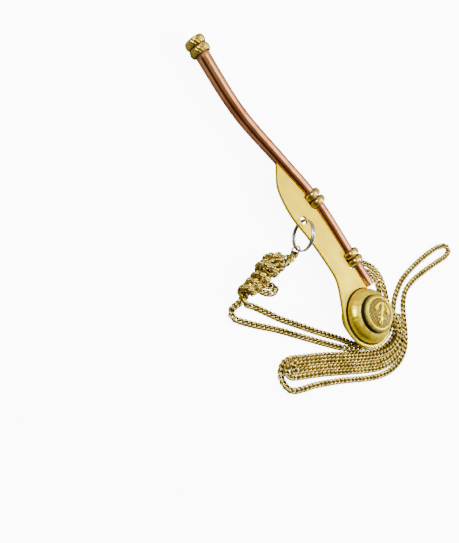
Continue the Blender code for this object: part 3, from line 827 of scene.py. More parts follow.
@dataclass
class Relief:
    """The cap's stamped ornament: an anchor with a rope round it, inside a rope border.

    The sizes are in millimetres on the cap, with Y along the anchor's shank.
    """

    radius: float = 7.0
    height: float = 0.5
    ground: float = 0.06
    border_radius: float = 6.05
    border_half: float = 0.5
    border_turns: int = 44
    shank: tuple[Point, Point] = ((0.0, -3.5), (0.0, 3.0))
    stock: tuple[Point, Point] = ((-1.75, 2.1), (1.75, 2.1))
    eye: Point = (0.0, 3.75)
    arm_centre: Point = (0.0, -0.7)
    arm_radius: float = 2.85
    turn: float = math.radians(35.0)

    def at(self, x: np.ndarray, y: np.ndarray) -> np.ndarray:
        """The ornament's height above the cap.

        Args:
            x: Places across the cap, in millimetres.
            y: Places along the cap, in millimetres.

        Returns:
            Heights in millimetres.
        """
        c, s = math.cos(self.turn), math.sin(self.turn)
        u, v = c * x + s * y, c * y - s * x
        out, angle = np.hypot(u, v), np.arctan2(v, u)
        shapes = [
            self._ridge(self._bar(u, v, *self.shank), 0.42),
            self._ridge(self._bar(u, v, *self.stock), 0.36),
            self._ridge(np.abs(np.hypot(u - self.eye[0], v - self.eye[1]) - 0.62), 0.27),
            self._ridge(self._arms(u, v), 0.46),
            self._ridge(self._fluke(u, v), 0.3),
            0.8 * self._rope(u, v),
        ]
        strand = 0.72 + 0.28 * np.cos(self.border_turns * angle + (out - self.border_radius) * 4.2)
        border = self._ridge(np.abs(out - self.border_radius), self.border_half) * strand
        waves = np.sin(u * 5.1 + 1.3) * np.sin(v * 4.7) + np.sin(u * 9.3 + v * 7.1) * 0.6
        field = np.maximum.reduce([*shapes, 0.55 * border])
        return field * self.height + self.ground * waves * (1 - field) * 0.6

    @staticmethod
    def _ridge(distance: np.ndarray, half: float) -> np.ndarray:
        """A rounded ridge of this half width about a line at no distance."""
        return np.sqrt(np.clip(1 - (distance / half) ** 2, 0.0, 1.0))

    @staticmethod
    def _bar(u: np.ndarray, v: np.ndarray, a: Point, b: Point) -> np.ndarray:
        """The distance from a straight bar."""
        du, dv = b[0] - a[0], b[1] - a[1]
        t = np.clip(((u - a[0]) * du + (v - a[1]) * dv) / (du * du + dv * dv), 0.0, 1.0)
        return np.hypot(u - a[0] - t * du, v - a[1] - t * dv)

    def _arms(self, u: np.ndarray, v: np.ndarray) -> np.ndarray:
        """The distance from the anchor's curved arms."""
        angle = np.arctan2(v - self.arm_centre[1], u - self.arm_centre[0])
        low, high = math.radians(-165.0), math.radians(-15.0)
        near = np.clip(angle, low, high)
        near = np.where(angle > math.pi / 2, low, near)
        return np.hypot(
            u - self.arm_centre[0] - self.arm_radius * np.cos(near),
            v - self.arm_centre[1] - self.arm_radius * np.sin(near),
        )

    def _fluke(self, u: np.ndarray, v: np.ndarray) -> np.ndarray:
        """The distance from the points at the ends of the arms."""
        across = np.abs(u)
        outer = self._bar(across, v, (2.75, -1.35), (3.45, -0.75))
        inner = self._bar(across, v, (2.75, -1.35), (2.1, -0.85))
        head = self._bar(across, v, (2.75, -1.35), (2.85, -0.25))
        return np.minimum.reduce([outer, inner, head])

    def _rope(self, u: np.ndarray, v: np.ndarray) -> np.ndarray:
        """The height of a rope that winds past the shank."""
        wave = 1.25 * np.sin(v * 1.35 + 0.5)
        strand = 0.75 + 0.25 * np.cos(v * 11.0 + u * 6.0)
        inside = smoothstep(v, -3.6, -3.0) * smoothstep(v, 3.4, 2.8)
        return self._ridge(np.abs(u - wave), 0.4) * strand * inside


@dataclass
class Buoy:
    """The two hollow domes and the stamped cap on each."""

    call: CallFrame
    radius: float = 10.3 * MM
    wall: float = 0.7 * MM
    shoulder: float = 0.8
    crown: float = 0.9
    cap_radius: float = 7.0 * MM
    flutes: int = 64
    flute_depth: float = 0.12 * MM
    fan_depth: float = 0.07 * MM
    hole_angle: float = math.radians(-60.0)
    hole_radius: float = 2.3 * MM
    hole_spread: float = 1.35
    hole_bite: float = 2.6 * MM
    hole_depth: float = 10.6 * MM

    def sound_hole(self) -> bpy.types.Mesh:
        """The shape that the sound hole takes out, in the call's frame."""
        middle = self.radius + self.hole_depth / 2 - self.wall - self.hole_bite
        line = np.array([[-self.hole_depth / 2, 0.0, 0.0], [self.hole_depth / 2, 0.0, 0.0]])
        mesh = tube("sound_hole", line, np.full(2, self.hole_radius), 64)
        mesh.transform(Matrix.Diagonal((1.0, 1.0, self.hole_spread, 1.0)))
        place = Matrix.Rotation(self.hole_angle, 4, "Z") @ Matrix.Translation((middle, 0.0, 0.0))
        mesh.transform(place)
        return tidy(mesh)

    def _arc(self, radius: float, height: float, count: int) -> np.ndarray:
        """A flattened quarter round, from its top down to its foot."""
        foot = self.call.keel_thickness / 2 + self.call.gap
        angles = np.linspace(math.pi / 2, 0.0, count)
        across = np.maximum(np.cos(angles), 0.0) ** self.shoulder
        across[0] = 0.0
        return np.stack([radius * across, foot + height * np.sin(angles) ** self.crown], axis=1)

    def _fill(self, out: np.ndarray, height: np.ndarray) -> np.ndarray:
        """How far a place is from the dome's inside to its outer skin, where it is 1."""
        rise = (height - self.call.keel_thickness / 2 - self.call.gap) / self.call.dome_height
        return (out / self.radius) ** (2 / self.shoulder) + np.maximum(rise, 0.0) ** (
            2 / self.crown
        )

    def _flute(
        self, angle: float, share: np.ndarray, radius: np.ndarray, height: np.ndarray
    ) -> tuple:
        """Presses fine flutes round the dome's foot, and an uneven fan of marks up its side."""
        foot = self.call.keel_thickness / 2 + self.call.gap
        outside = share < 0.5
        near = smoothstep(height - foot, 1.7 * MM, 1.1 * MM) * smoothstep(
            height - foot, 0.2 * MM, 0.5 * MM
        )
        depth = self.flute_depth * (0.5 + 0.5 * math.cos(self.flutes * angle))
        side = smoothstep(radius, 6.6 * MM, 8.0 * MM) * smoothstep(
            height - foot, 0.6 * MM, 1.6 * MM
        )
        fan = math.sin(17 * angle + 0.6) + 0.7 * math.sin(29 * angle + 2.1) + 0.6 * math.sin(
            43 * angle
        )
        dent = self.fan_depth * (fan / 2.3 + np.sin(height * 1600.0 + 5 * angle) * 0.6)
        return radius - np.where(outside, near * depth + side * dent, 0.0), height

    def build(
        self, brass: bpy.types.Material, cap_brass: bpy.types.Material, hole: bpy.types.Mesh
    ) -> None:
        """Makes both domes and both caps."""
        profile = np.vstack([
            self._arc(self.radius, self.call.dome_height, 40),
            self._arc(self.radius - self.wall, self.call.dome_height - self.wall, 20)[::-1],
        ])
        top = self.call.keel_thickness / 2 + self.call.gap + self.call.dome_height
        for side in Side:
            turn = Matrix.Rotation(0.0 if side is Side.FRONT else math.pi, 4, "X")
            dome = revolve(side.value + "_dome", profile, 256, self._flute)
            dome.transform(turn)
            dome = cut(dome, hole.copy())
            co = points_of(dome)
            out, height = np.hypot(co[:, 0], co[:, 1]), np.abs(co[:, 2])
            # Painted shade: the dome darkened at its foot on the keel, under the cap's edge and
            # over its inside.
            shade_and_grime = 0.9 * smoothstep(height, 1.5 * MM, 1.0 * MM)
            shade_and_grime = np.maximum(shade_and_grime, 0.9 * smoothstep(out, 7.5 * MM, 7.0 * MM))
            # Darker streaks on the dome near the cap, spaced like the fan of marks.
            turn_of = np.arctan2(co[:, 1], co[:, 0])
            streaks = 0.5 + 0.3 * np.sin(17 * turn_of + 0.6) + 0.2 * np.sin(29 * turn_of + 2.1)
            shade_and_grime = np.maximum(shade_and_grime, 0.38 * streaks**2 * smoothstep(out, 8.6 * MM, 7.6 * MM))
            inside = smoothstep(self._fill(out, height), 0.92, 0.86)
            shade_and_grime = np.maximum(shade_and_grime, 0.8 * inside)
            paint(dome, "shade_and_grime", shade_and_grime)
            dome.transform(self.call.matrix())
            show(side.value + "_buoy_dome", dome, brass, Body.CALL, (
                side.value + "_dome",
            ))
            cap = self._cap(side.value + "_cap", top + self.call.gap)
            cap.transform(self.call.matrix() @ turn)
            show(side.value + "_stamped_cap", cap, cap_brass, Body.CALL, (
                side.value + "_cap",
            ))

    def _cap(self, name: str, under: float) -> bpy.types.Mesh:
        """A crowned disc with a rolled edge and the ornament on its top."""
        relief = Relief()
        # Shares of the radius: where the edge starts to roll, and how wide the roll is.
        rim, curl = 0.965, 0.035
        roll_rise = 0.12 * MM
        edge = under + self.call.cap_edge
        outs = np.concatenate([np.linspace(0.0, rim, 96), 1.0 - curl * np.cos(
            np.linspace(0.6, 1.57, 5)
        )])
        angles = np.linspace(0.0, 2 * math.pi, 252, endpoint=False)
        rings, shade_and_grime_rows = [], []
        for share in outs:
            radius = self.cap_radius * share
            x, y = radius * np.cos(angles), radius * np.sin(angles)
            rise = self.call.cap_crown * (1 - max(0.0, (share - 0.31) / 0.69) ** 1.75)
            lift = relief.at(x / MM, y / MM) * float(smoothstep(np.array(share), 0.995, 0.95))
            roll = (
                roll_rise * math.sqrt(max(0.0, 1 - ((share - rim) / curl) ** 2))
                if share > 0.93
                else roll_rise
            )
            z = edge - 0.24 * MM + roll + (rise + lift * MM)
            rings.append(np.stack([x, y, np.full_like(x, 0.0) + z], axis=1))
            # Darker on the low ground round the raised ornament.
            shade_and_grime_rows.append(smoothstep(lift, 0.16, -0.02) * 0.62 * np.ones_like(x))
        # Painted shade: the cap's underside, which sits on the dome, is made dark.
        for radius, height in (
            (1.0, under + 0.08 * MM), (0.985, under), (0.6, under), (0.0, under)
        ):
            x, y = self.cap_radius * radius * np.cos(angles), self.cap_radius * radius * np.sin(
                angles
            )
            rings.append(np.stack([x, y, np.full_like(x, height)], axis=1))
            shade_and_grime_rows.append(np.full_like(x, 0.9))
        mesh = bpy.data.meshes.new(name)
        around = len(angles)
        faces = []
        for i in range(len(rings) - 1):
            for j in range(around):
                k = (j + 1) % around
                faces.append((
                    i * around + j, i * around + k, (i + 1) * around + k, (i + 1) * around + j
                ))
        mesh.from_pydata(np.concatenate(rings).tolist(), [], faces)
        paint(mesh, "shade_and_grime", np.concatenate(shade_and_grime_rows))
        return tidy(mesh)


@dataclass
class GunRings:
    """The rings that bind the gun to the keel, and the heavy rings of the mouth."""

    call: CallFrame
    gun: Gun
    band_radius: float = 3.55 * MM
    band_width: float = 2.5 * MM
    band_spacing: float = 3.0 * MM
    mouth_radius: float = 3.75 * MM
    mouth_width: float = 2.7 * MM
    mouth_spacing: float = 2.95 * MM
    strands: int = 15
    strand_depth: float = 0.2 * MM

    def build(self, band_brass: bpy.types.Material, rope_brass: bpy.types.Material) -> None:
        """Makes the four band rings and the two rings of the mouth."""
        for band, x in (("lower_band", self.gun.lower_band[0]), (
            "upper_band", self.gun.upper_band[0]
        )):
            for end, side in (("_muzzle_ring", -1), ("_mouth_ring", 1)):
                place = x + side * self.band_spacing / 2
                mesh = self._bead(place, self.band_radius, self.band_width, self._plain)
                show(band + end + "_bead", mesh, band_brass, Body.CALL, (band + end,))
        outer = self.gun.mouth[0] - self.mouth_width / 2 + self.call.gap
        for name, x in (("mouthpiece_end_ring", outer), (
            "mouthpiece_inner_ring", outer - self.mouth_spacing
        )):
            mesh = self._bead(x, self.mouth_radius, self.mouth_width, self._roped)
            show(name + "_rope", mesh, rope_brass, Body.CALL, (name,))

    def _bead(self, x: float, radius: float, width: float, shape) -> bpy.types.Mesh:
        """A ring round the gun at this distance from the buoy."""
        y, slope, pipe = self.gun.at(x)
        bore = pipe + self.call.gap * 0.4
        half, rise = width / 2, radius - bore
        angles = np.linspace(math.pi / 2, -math.pi / 2, 34)
        arc = np.stack(
            [bore + rise * (0.35 + 0.65 * np.cos(angles)), half * np.sin(angles)], axis=1
        )
        inside = np.array([(bore, -half * 0.82), (bore, -half * 0.4), (bore, half * 0.4), (
            bore, half * 0.82
        )])
        profile = np.vstack([arc, inside])
        mesh = revolve("ring", profile, 180, lambda *given: shape(*given, bore, rise))
        co = points_of(mesh)
        out = np.hypot(co[:, 0], co[:, 1])
        # Painted shade: each ring darkened towards the pipe, where it meets it.
        shade_and_grime = 0.9 * smoothstep(out, bore + rise * 0.62, bore + rise * 0.2)
        paint(mesh, "shade_and_grime", np.maximum(shade_and_grime, 0.0))
        mesh.transform(Matrix.Rotation(math.pi / 2, 4, "Y"))
        mesh.transform(Matrix.Translation((x, y, 0.0)) @ Matrix.Rotation(slope, 4, "Z"))
        mesh.transform(self.call.matrix())
        return mesh

    @staticmethod
    def _plain(
        angle: float,
        share: np.ndarray,
        radius: np.ndarray,
        height: np.ndarray,
        bore: float,
        rise: float,
    ) -> tuple:
        """A smooth bead, very slightly uneven by hand."""
        wobble = 0.03 * MM * math.sin(5 * angle + 0.7) + 0.02 * MM * math.sin(11 * angle)
        return radius + wobble * smoothstep(radius, bore, bore + rise), height

    def _roped(
        self,
        angle: float,
        share: np.ndarray,
        radius: np.ndarray,
        height: np.ndarray,
        bore: float,
        rise: float,
    ) -> tuple:
        """Slanting strands like those of a laid rope."""
        slant = height / (self.mouth_width / 2) * 1.5
        ridge = np.abs(np.cos((self.strands * angle + slant * 2.0) / 2))
        groove = self.strand_depth * (1 - ridge) ** 1.6
        outside = smoothstep(radius, bore + rise * 0.2, bore + rise * 0.6)
        return radius - groove * outside, height


@dataclass
class LanyardRing:
    """The split ring through the keel's hole, and the first link of the chain."""

    call: CallFrame
    keel: Keel
    radius: float = 5.5 * MM
    wire: float = 0.7 * MM
    pitch: float = 0.78 * MM
    turns: int = 2
    heading: float = math.radians(135.0)
    link_angle: float = math.radians(-45.0)
    link_radius: float = 1.65 * MM
    link_wire: float = 0.6 * MM
    link_offset: float = 0.6 * MM

    def place(self) -> tuple[np.ndarray, np.ndarray, np.ndarray]:
        """The ring's centre, the directions in its plane, and its axis, in the row frame."""
        hole = np.array(self.call.matrix() @ Vector((*self.keel.hole, 0.0)))
        towards = np.array([math.cos(self.heading), math.sin(self.heading), 0.0])
        up = np.array([0.0, 0.0, 1.0])
        return hole + towards * self.radius, np.stack([towards, up]), np.cross(towards, up)

    def link_place(self) -> tuple[np.ndarray, np.ndarray]:
        """The end link's centre and the direction from the ring's centre to it."""
        centre, plane, _ = self.place()
        out = plane[0] * math.cos(self.link_angle) + plane[1] * math.sin(self.link_angle)
        return centre + out * (self.radius + self.link_offset), out

    def build(self, steel: bpy.types.Material, brass: bpy.types.Material) -> None:
        """Makes the ring and the link."""
        centre, plane, axis = self.place()
        share = np.linspace(0.0, self.turns - 0.02, 150 * self.turns)
        angle = 2 * math.pi * share
        height = self.pitch / 2 * np.tanh((share - self.turns / 2) * 9.0)
        line = centre + self.radius * (
            np.cos(angle)[:, None] * plane[0] + np.sin(angle)[:, None] * plane[1]
        )
        line = line + height[:, None] * axis
        mesh = tube("split_ring_wire", line, np.full(len(line), self.wire / 2), 14)
        paint(mesh, "shade_and_grime", np.zeros(len(mesh.vertices)))
        show("split_ring_wire", mesh, steel, Body.RING, ("split_ring",))

        middle, out = self.link_place()
        angle = np.linspace(0.0, 2 * math.pi, 56, endpoint=False)
        loop = middle + self.link_radius * (
            np.cos(angle)[:, None] * out + np.sin(angle)[:, None] * axis
        )
        link = tube("end_link_wire", loop, np.full(len(loop), self.link_wire / 2), 12, closed=True)
        paint(link, "shade_and_grime", np.full(len(link.vertices), 0.15))
        show("end_link_wire", link, brass, Body.LINK, ("chain_end_link",))


@dataclass
class Chain:
    """The curb chain: one length of links from the ring, out over the table and back to the ring.

    The routes are in millimetres from the table under the buoy's centre, and the last number of
    each point is the height of the chain's centre.
    """

    call: CallFrame
    ring: LanyardRing
    width: float = 2.6 * MM
    pitch: float = 1.9 * MM
    link_wire: float = 0.96 * MM
    twist: float = -0.5 * MM
    settle: float = 0.1
    lying: float = 0.95
    crossing: float = 3.25
    lane_spacing: float = 2.15
    lane_step: float = 0.5
    roll: float = math.radians(9.0)
    neck: float = 0.25

    def upper_run(self) -> list[Point]:
        """From the knot, under the buoy's side."""
        low = self.lying
        return [
            (34.0, 34.5, low), (32.3, 33.2, low), (28.8, 31.1, low),
            (22.6, 27.6, low), (15.8, 22.9, low), (7.9, 17.4, low), (-0.4, 11.2, low),
            (-6.0, 7.4, low),
            (-11.2, 3.2, low), (-14.5, -2.2, low), (-15.5, -8.2, low),
        ]  # fmt: skip

    def right_loop(self) -> list[Point]:
        """The long loop away from the mouth's side."""
        low = self.lying
        return [
            (-14.3, -13.8, low), (-11.7, -18.6, low), (-8.9, -22.8, low), (-7.1, -27.6, low),
            (-5.9, -33.0, low),
            (-6.0, -40.6, low), (-6.9, -48.8, low), (-8.3, -56.8, low), (-10.2, -63.4, low),
            (-12.6, -67.3, low),
            (-15.2, -67.6, low), (-15.6, -64.2, low), (-13.6, -55.6, low), (-11.3, -45.6, low),
            (-10.0, -37.0, low),
            (-10.5, -30.4, low), (-13.5, -25.4, low),
        ]  # fmt: skip

    def outer_run(self) -> list[Point]:
        """The outermost lane, which bows away from the hank."""
        low = self.lying
        return [
            (-18.0, -21.2, low), (-22.7, -17.1, low), (-25.9, -12.4, low), (-27.0, -6.8, low),
            (-26.3, -0.9, low),
            (-24.0, 4.8, low), (-20.5, 10.4, low), (-15.9, 16.3, low), (-11.2, 22.3, low),
            (-7.0, 28.2, low),
            (-3.7, 33.2, low), (-1.3, 37.6, low), (1.3, 41.0, low), (4.4, 41.9, low),
            (7.4, 41.3, low),
            (9.4, 39.4, low), (10.2, 36.6, low),
        ]  # fmt: skip

    def muzzle_loop(self) -> list[Point]:
        """From the hank, over the right loop, and round under the muzzle."""
        low, high = self.lying, self.crossing
        return [
            (-19.0, -11.0, 3.2), (-17.8, -13.1, high), (-15.8, -14.5, high), (-13.4, -15.5, high),
            (-10.6, -16.7, 2.4), (-7.2, -18.9, low),
            (-2.6, -21.6, low), (3.0, -23.6, low), (8.0, -22.9, low), (12.4, -20.0, low),
            (16.4, -15.8, low),
            (18.8, -11.0, low), (18.0, -6.7, low), (14.7, -5.0, low), (11.6, -7.0, low),
            (11.0, -11.6, low),
            (10.5, -16.4, low), (8.3, -19.6, low),
        ]  # fmt: skip

    def lower_run(self) -> list[Point]:
        """From the muzzle's loop, over the upper run, to the knot."""
        low, high = self.lying, self.crossing
        return [
            (4.6, -20.9, low), (0.6, -19.9, low), (-3.8, -16.4, low), (-8.2, -10.4, low),
            (-10.4, -4.4, low), (-10.6, 0.6, 2.4),
            (-9.3, 5.1, high), (-6.8, 9.4, 2.4), (-2.6, 13.4, low), (4.2, 18.8, low),
            (13.3, 25.7, low),
            (21.0, 31.6, low), (27.2, 37.0, low), (31.6, 40.4, low), (33.7, 41.7, low),
            (35.6, 41.8, low),
            (36.6, 40.4, low), (36.7, 38.5, low), (36.5, 36.7, low),
        ]  # fmt: skip

    def hank_lane(self) -> np.ndarray:
        """The centre of the hank's inner lane, from its left end to its right end."""
        return smooth_line([
            (9.2, 33.5, 0.0), (5.4, 28.3, 0.0), (1.4, 22.8, 0.0), (-3.2, 17.0, 0.0),
            (-7.8, 11.3, 0.0),
            (-12.2, 5.7, 0.0), (-15.9, 0.4, 0.0), (-17.9, -4.6, 0.0), (-18.4, -9.0, 0.0),
        ], 21)  # fmt: skip

    def in_hank(self, places: list[Point], end: int) -> list[Point]:
        """Points given from one end of the hank.

        Args:
            places: Rows of the distance past the end, the offset outwards from the inner lane and
                the height.
            end: 0 for the left end and -1 for the right end.

        Returns:
            The points on the table.
        """
        lane = self.hank_lane()
        ways = unit(np.gradient(lane, axis=0))[end] * (1.0 if end else -1.0)
        heading = unit(np.gradient(lane, axis=0))[end]
        outward = np.array([heading[1], -heading[0], 0.0])
        return [
            tuple(lane[end] + ways * past + outward * side + (0.0, 0.0, height))
            for past, side, height in places
        ]

    def lane(self, offset: float, height: float, left: int = 0, right: int = 21) -> list[Point]:
        """One lane of the hank from left to right, at this offset from the inner lane."""
        line = self.hank_lane()
        heading = unit(np.gradient(line, axis=0))
        outward = np.stack([heading[:, 1], -heading[:, 0], 0 * heading[:, 0]], axis=1)
        moved = line + outward * offset + (0.0, 0.0, height)
        return [tuple(p) for p in moved[left:right:2]]

    def hank(self) -> list[Point]:
        """The four lanes and the one on top of them, with their folds."""
        low, step = self.lying, self.lane_spacing
        high = low + self.lane_step
        round_tip = [
            (-18.1, -12.0, low), (-17.0, -14.9, low), (-15.4, -16.9, low), (-14.0, -19.0, low),
            (-14.9, -20.2, low),
            (-16.9, -18.9, low), (-19.6, -16.2, low), (-22.4, -13.0, low), (-24.3, -10.6, low),
        ]  # fmt: skip
        round_left = [(1.0, 6.2, 1.2), (2.8, 5.6, 2.0), (3.9, 4.4, 2.2), (3.2, 3.0, 2.0), (
            1.2, 2.2, 1.7
        )]
        small_tip = [(-20.2, -11.0, 1.6), (-19.7, -13.4, 2.4), (-20.8, -14.2, 2.6), (
            -22.0, -12.4, 1.9
        )]
        over_left = [(0.3, 4.3, 1.6), (1.2, 4.0, 2.6), (1.4, 2.6, 3.2), (0.3, 1.4, 3.1)]
        return [
            *self.lane(0.0, low),
            *round_tip,
            *self.lane(3 * step, low)[::-1],
            *self.in_hank(round_left, 0),
            *self.lane(step, high),
            *small_tip,
            *self.lane(2 * step, low)[::-1],
            *self.in_hank(over_left, 0),
            *self.lane(0.5 * step, 3.1, left=2),
        ]

    def knot_core(self) -> np.ndarray:
        """The knot's middle line and its outer radius, from the ring to the runs."""
        return smooth_line([
            (34.9, 7.2, 1.45, 1.45), (34.9, 10.0, 1.7, 1.7), (36.5, 13.4, 2.7, 2.7),
            (38.3, 17.2, 3.9, 3.9),
            (38.7, 21.5, 4.0, 4.0), (38.1, 25.4, 3.1, 3.1), (37.9, 28.4, 2.6, 2.6),
            (38.3, 31.4, 3.0, 3.0),
            (37.8, 33.8, 2.7, 2.7), (36.9, 35.2, 2.1, 2.1),
        ], 101)  # fmt: skip

    def wrap(
        self, start: float, end: float, turns: float, phase: float, depth: float, count: int
    ) -> list[Point]:
        """Chain wound round the knot's core.

        Args:
            start: Where it starts along the core, from 0 at the ring to 1.
            end: Where it ends.
            turns: How many times it goes round.
            phase: The angle that it starts at, in turns.
            depth: The share of the core's radius that it winds at.
            count: How many points to make.

        Returns:
            Points with the direction away from the core after them.
        """
        core = self.knot_core()
        heading = unit(np.gradient(core[:, :3], axis=0))
        side = unit(np.cross(heading, (0.0, 0.0, 1.0)))
        up = np.cross(side, heading)
        points = []
        for share in np.linspace(0.0, 1.0, count):
            place = (start + (end - start) * share) * (len(core) - 1)
            at = [
                np.array([np.interp(place, range(len(core)), a[:, k]) for k in range(3)])
                for a in (core, side, up)
            ]
            radius = float(np.interp(place, range(len(core)), core[:, 3]))
            angle = 2 * math.pi * (phase + turns * share)
            out = math.cos(angle) * at[1] + math.sin(angle) * at[2]
            points.append((*(at[0] + out * max(radius - self.lying, 0.85) * depth), *out))
        return points

    def route(self) -> np.ndarray:
        """The whole route, as places and the directions that the chain's flat side faces."""
        middle, out = self.ring.link_place()
        start = (middle + out * self.ring.link_radius - self.call.table()) / MM
        loop = [
            (37.6, 32.6, 2.1), (36.8, 29.0, 2.0), (34.6, 27.3, 1.4), (32.2, 25.6, 1.0),
            (30.6, 23.5, 0.95),
            (30.3, 21.9, 0.95), (31.4, 21.2, 0.95), (32.8, 22.3, 0.95), (34.2, 24.0, 1.2),
            (35.6, 24.9, 2.4),
        ]  # fmt: skip
        first = tuple(start + (0.25, 0.3, 0.55))
        last = tuple(start + (-0.35, 0.3, 0.6))
        knots = [
            first,
            *self.wrap(0.02, self.neck, 0.6, 0.0, 1.0, 6),
            *self.wrap(self.neck + 0.03, 0.98, 1.0, 0.6, 0.35, 12),
            *self.upper_run(),
            *self.right_loop(),
            *self.outer_run(),
            *self.hank(),
            *self.muzzle_loop(),
            *self.lower_run(),
            *loop,
            *self.wrap(0.56, 0.3, 2.6, 0.1, 0.72, 34),
            *self.wrap(0.28, 0.95, -5.4, 0.15, 0.92, 64),
            *self.wrap(0.97, self.neck + 0.03, 5.5, 0.6, 1.06, 70),
            *self.wrap(self.neck, 0.02, -0.6, 1.1, 1.0, 6),
            last,
        ]
        full = [p if len(p) == 6 else (*p, 0.0, 0.0, 1.0) for p in knots]
        return smooth_line(full, 3200, steps=14)

    def build(self, material: bpy.types.Material) -> None:
        route = self.route()
        route[:, 2] = np.maximum(route[:, 2] - self.settle, 0.84)
        place = route[:, :3] * MM + self.call.table()
        length = float(run_along(place)[-1])
        heading = unit(np.gradient(place, axis=0))
        facing = route[:, 3:]
        facing = unit(facing - heading * np.sum(facing * heading, axis=1, keepdims=True))
        run = run_along(place) / MM
        roll = self.roll * (np.sin(run / 7.3) + 0.6 * np.sin(run / 3.1 + 1.0)) / 1.6
        across = np.cross(heading, facing)
        facing = facing * np.cos(roll)[:, None] + across * np.sin(roll)[:, None]

        backbone = bpy.data.meshes.new("chain_backbone")
        count = len(place)
        backbone.from_pydata(place.tolist(), [(i, i + 1) for i in range(count - 1)], [])
        lie = backbone.attributes.new("lie", "FLOAT_VECTOR", "POINT")
        lie.data.foreach_set("vector", facing.astype(np.float32).ravel())
        carrier = bpy.data.objects.new("chain_backbone", backbone)
        bpy.context.scene.collection.objects.link(carrier)
        links = round(length / self.pitch)
        mesh = self._links(carrier, links, material)
        bpy.data.objects.remove(carrier, do_unlink=True)

        chain = show(
            "curb_chain",
            mesh,
            material,
            Body.CALL,
            (
                "chain_upper_run",
                "chain_right_loop",
                "chain_outer_run",
                "chain_hank",
                "chain_hank_tip",
                "chain_muzzle_loop",
                "chain_lower_run",
                "chain_knot",
            ),
        )
        LOG.info("curb chain: %d links over %.4f m", links, length)

    def _links(
        self, carrier: bpy.types.Object, links: int, material: bpy.types.Material
    ) -> bpy.types.Mesh:
        """The links along the carrier's edges, as one plain mesh.

        Args:
            carrier: An object whose edges are the chain's middle line.
            links: How many links there are.
            material: The links' finish.

        Returns:
            The mesh of every link.
        """
        group = bpy.data.node_groups.new("curb_chain", "GeometryNodeTree")
        face = group.interface
        face.new_socket("Line", in_out="INPUT", socket_type="NodeSocketGeometry")
        sizes = {
            "Links": links,
            "Half Length": (self.pitch + self.link_wire) / 2,
            "Half Width": (self.width - self.link_wire) / 2,
            "Twist": self.twist,
            "Wire Radius": self.link_wire / 2,
        }
        names = {}
        for name, value in sizes.items():
            kind = "NodeSocketInt" if isinstance(value, int) else "NodeSocketFloat"
            names[name] = face.new_socket(name, in_out="INPUT", socket_type=kind).identifier
        face.new_socket("Chain", in_out="OUTPUT", socket_type="NodeSocketGeometry")
        tree = Tree(group)
        given = tree.node("NodeGroupInput")
        size = {name: Socket(tree, given.outputs[name]) for name in sizes}

        oval = tree.node("GeometryNodeCurvePrimitiveCircle", {"mode": "RADIUS"}, {
            "Resolution": 12, "Radius": 1.0
        })
        where = tree.node("GeometryNodeInputPosition")
        parts = tree.node("ShaderNodeSeparateXYZ", None, {0: where.outputs[0]})
        x, y = Socket(tree, parts.outputs[0]), Socket(tree, parts.outputs[1])
        bent = tree.out(
            "ShaderNodeCombineXYZ",
            None,
            {0: x * size["Half Length"], 1: y * size["Half Width"], 2: x * y * 2.0 * size["Twist"]},
        )
        shaped = tree.node("GeometryNodeSetPosition", None, {
            "Geometry": oval.outputs[0], "Position": bent
        })
        ring = tree.node(
            "GeometryNodeCurvePrimitiveCircle",
            {"mode": "RADIUS"},
            {"Resolution": 5, "Radius": size["Wire Radius"]},
        )
        link = tree.node(
            "GeometryNodeCurveToMesh", None, {
                "Curve": shaped.outputs[0], "Profile Curve": ring.outputs[0]
            }
        )
        # Painted shade: each link darkened on the side of its wire that faces the link's middle,
        # where the next links shade it.
        normal = tree.out("GeometryNodeInputNormal")
        place = tree.out("ShaderNodeVectorMath", {"operation": "NORMALIZE"}, {0: where.outputs[0]})
        facing = tree.out(
            "ShaderNodeVectorMath", {"operation": "DOT_PRODUCT"}, {0: normal, 1: place}, "Value"
        )
        inner = (0.5 - facing * 0.75).between(0.0, 1.0)
        shaded_inside = tree.node(
            "GeometryNodeStoreNamedAttribute",
            {"data_type": "FLOAT", "domain": "POINT"},
            {"Geometry": link.outputs[0], "Name": "shade_and_grime", "Value": inner},
        )
        soft = tree.node("GeometryNodeSetShadeSmooth", None, {"Geometry": shaded_inside.outputs[0]})

        line = tree.node("GeometryNodeMeshToCurve", None, {"Mesh": given.outputs["Line"]})
        spaced = tree.node(
            "GeometryNodeResampleCurve", {"mode": "COUNT"}, {
                "Curve": line.outputs[0], "Count": size["Links"]
            }
        )
        tangent = tree.node("GeometryNodeInputTangent")
        lie = tree.node("GeometryNodeInputNamedAttribute", {"data_type": "FLOAT_VECTOR"}, {
            "Name": "lie"
        })
        flat = tree.node(
            "FunctionNodeAxesToRotation",
            {"primary_axis": "X", "secondary_axis": "Z"},
            {0: tangent.outputs[0], 1: lie.outputs[0]},
        )
        copies = tree.node(
            "GeometryNodeInstanceOnPoints",
            None,
            {"Points": spaced.outputs[0], "Instance": soft.outputs[0], "Rotation": flat.outputs[0]},
        )
        real = tree.node("GeometryNodeRealizeInstances", None, {"Geometry": copies.outputs[0]})
        dressed = tree.node(
            "GeometryNodeSetMaterial", None, {"Geometry": real.outputs[0], "Material": material}
        )
        tree.node("NodeGroupOutput", None, {0: dressed.outputs[0]})

        modifier = carrier.modifiers.new("Links", "NODES")
        modifier.node_group = group
        for name, identifier in names.items():
            modifier[identifier] = sizes[name]
        mesh = evaluated_mesh(carrier, "curb_chain")
        carrier.modifiers.remove(modifier)
        return mesh


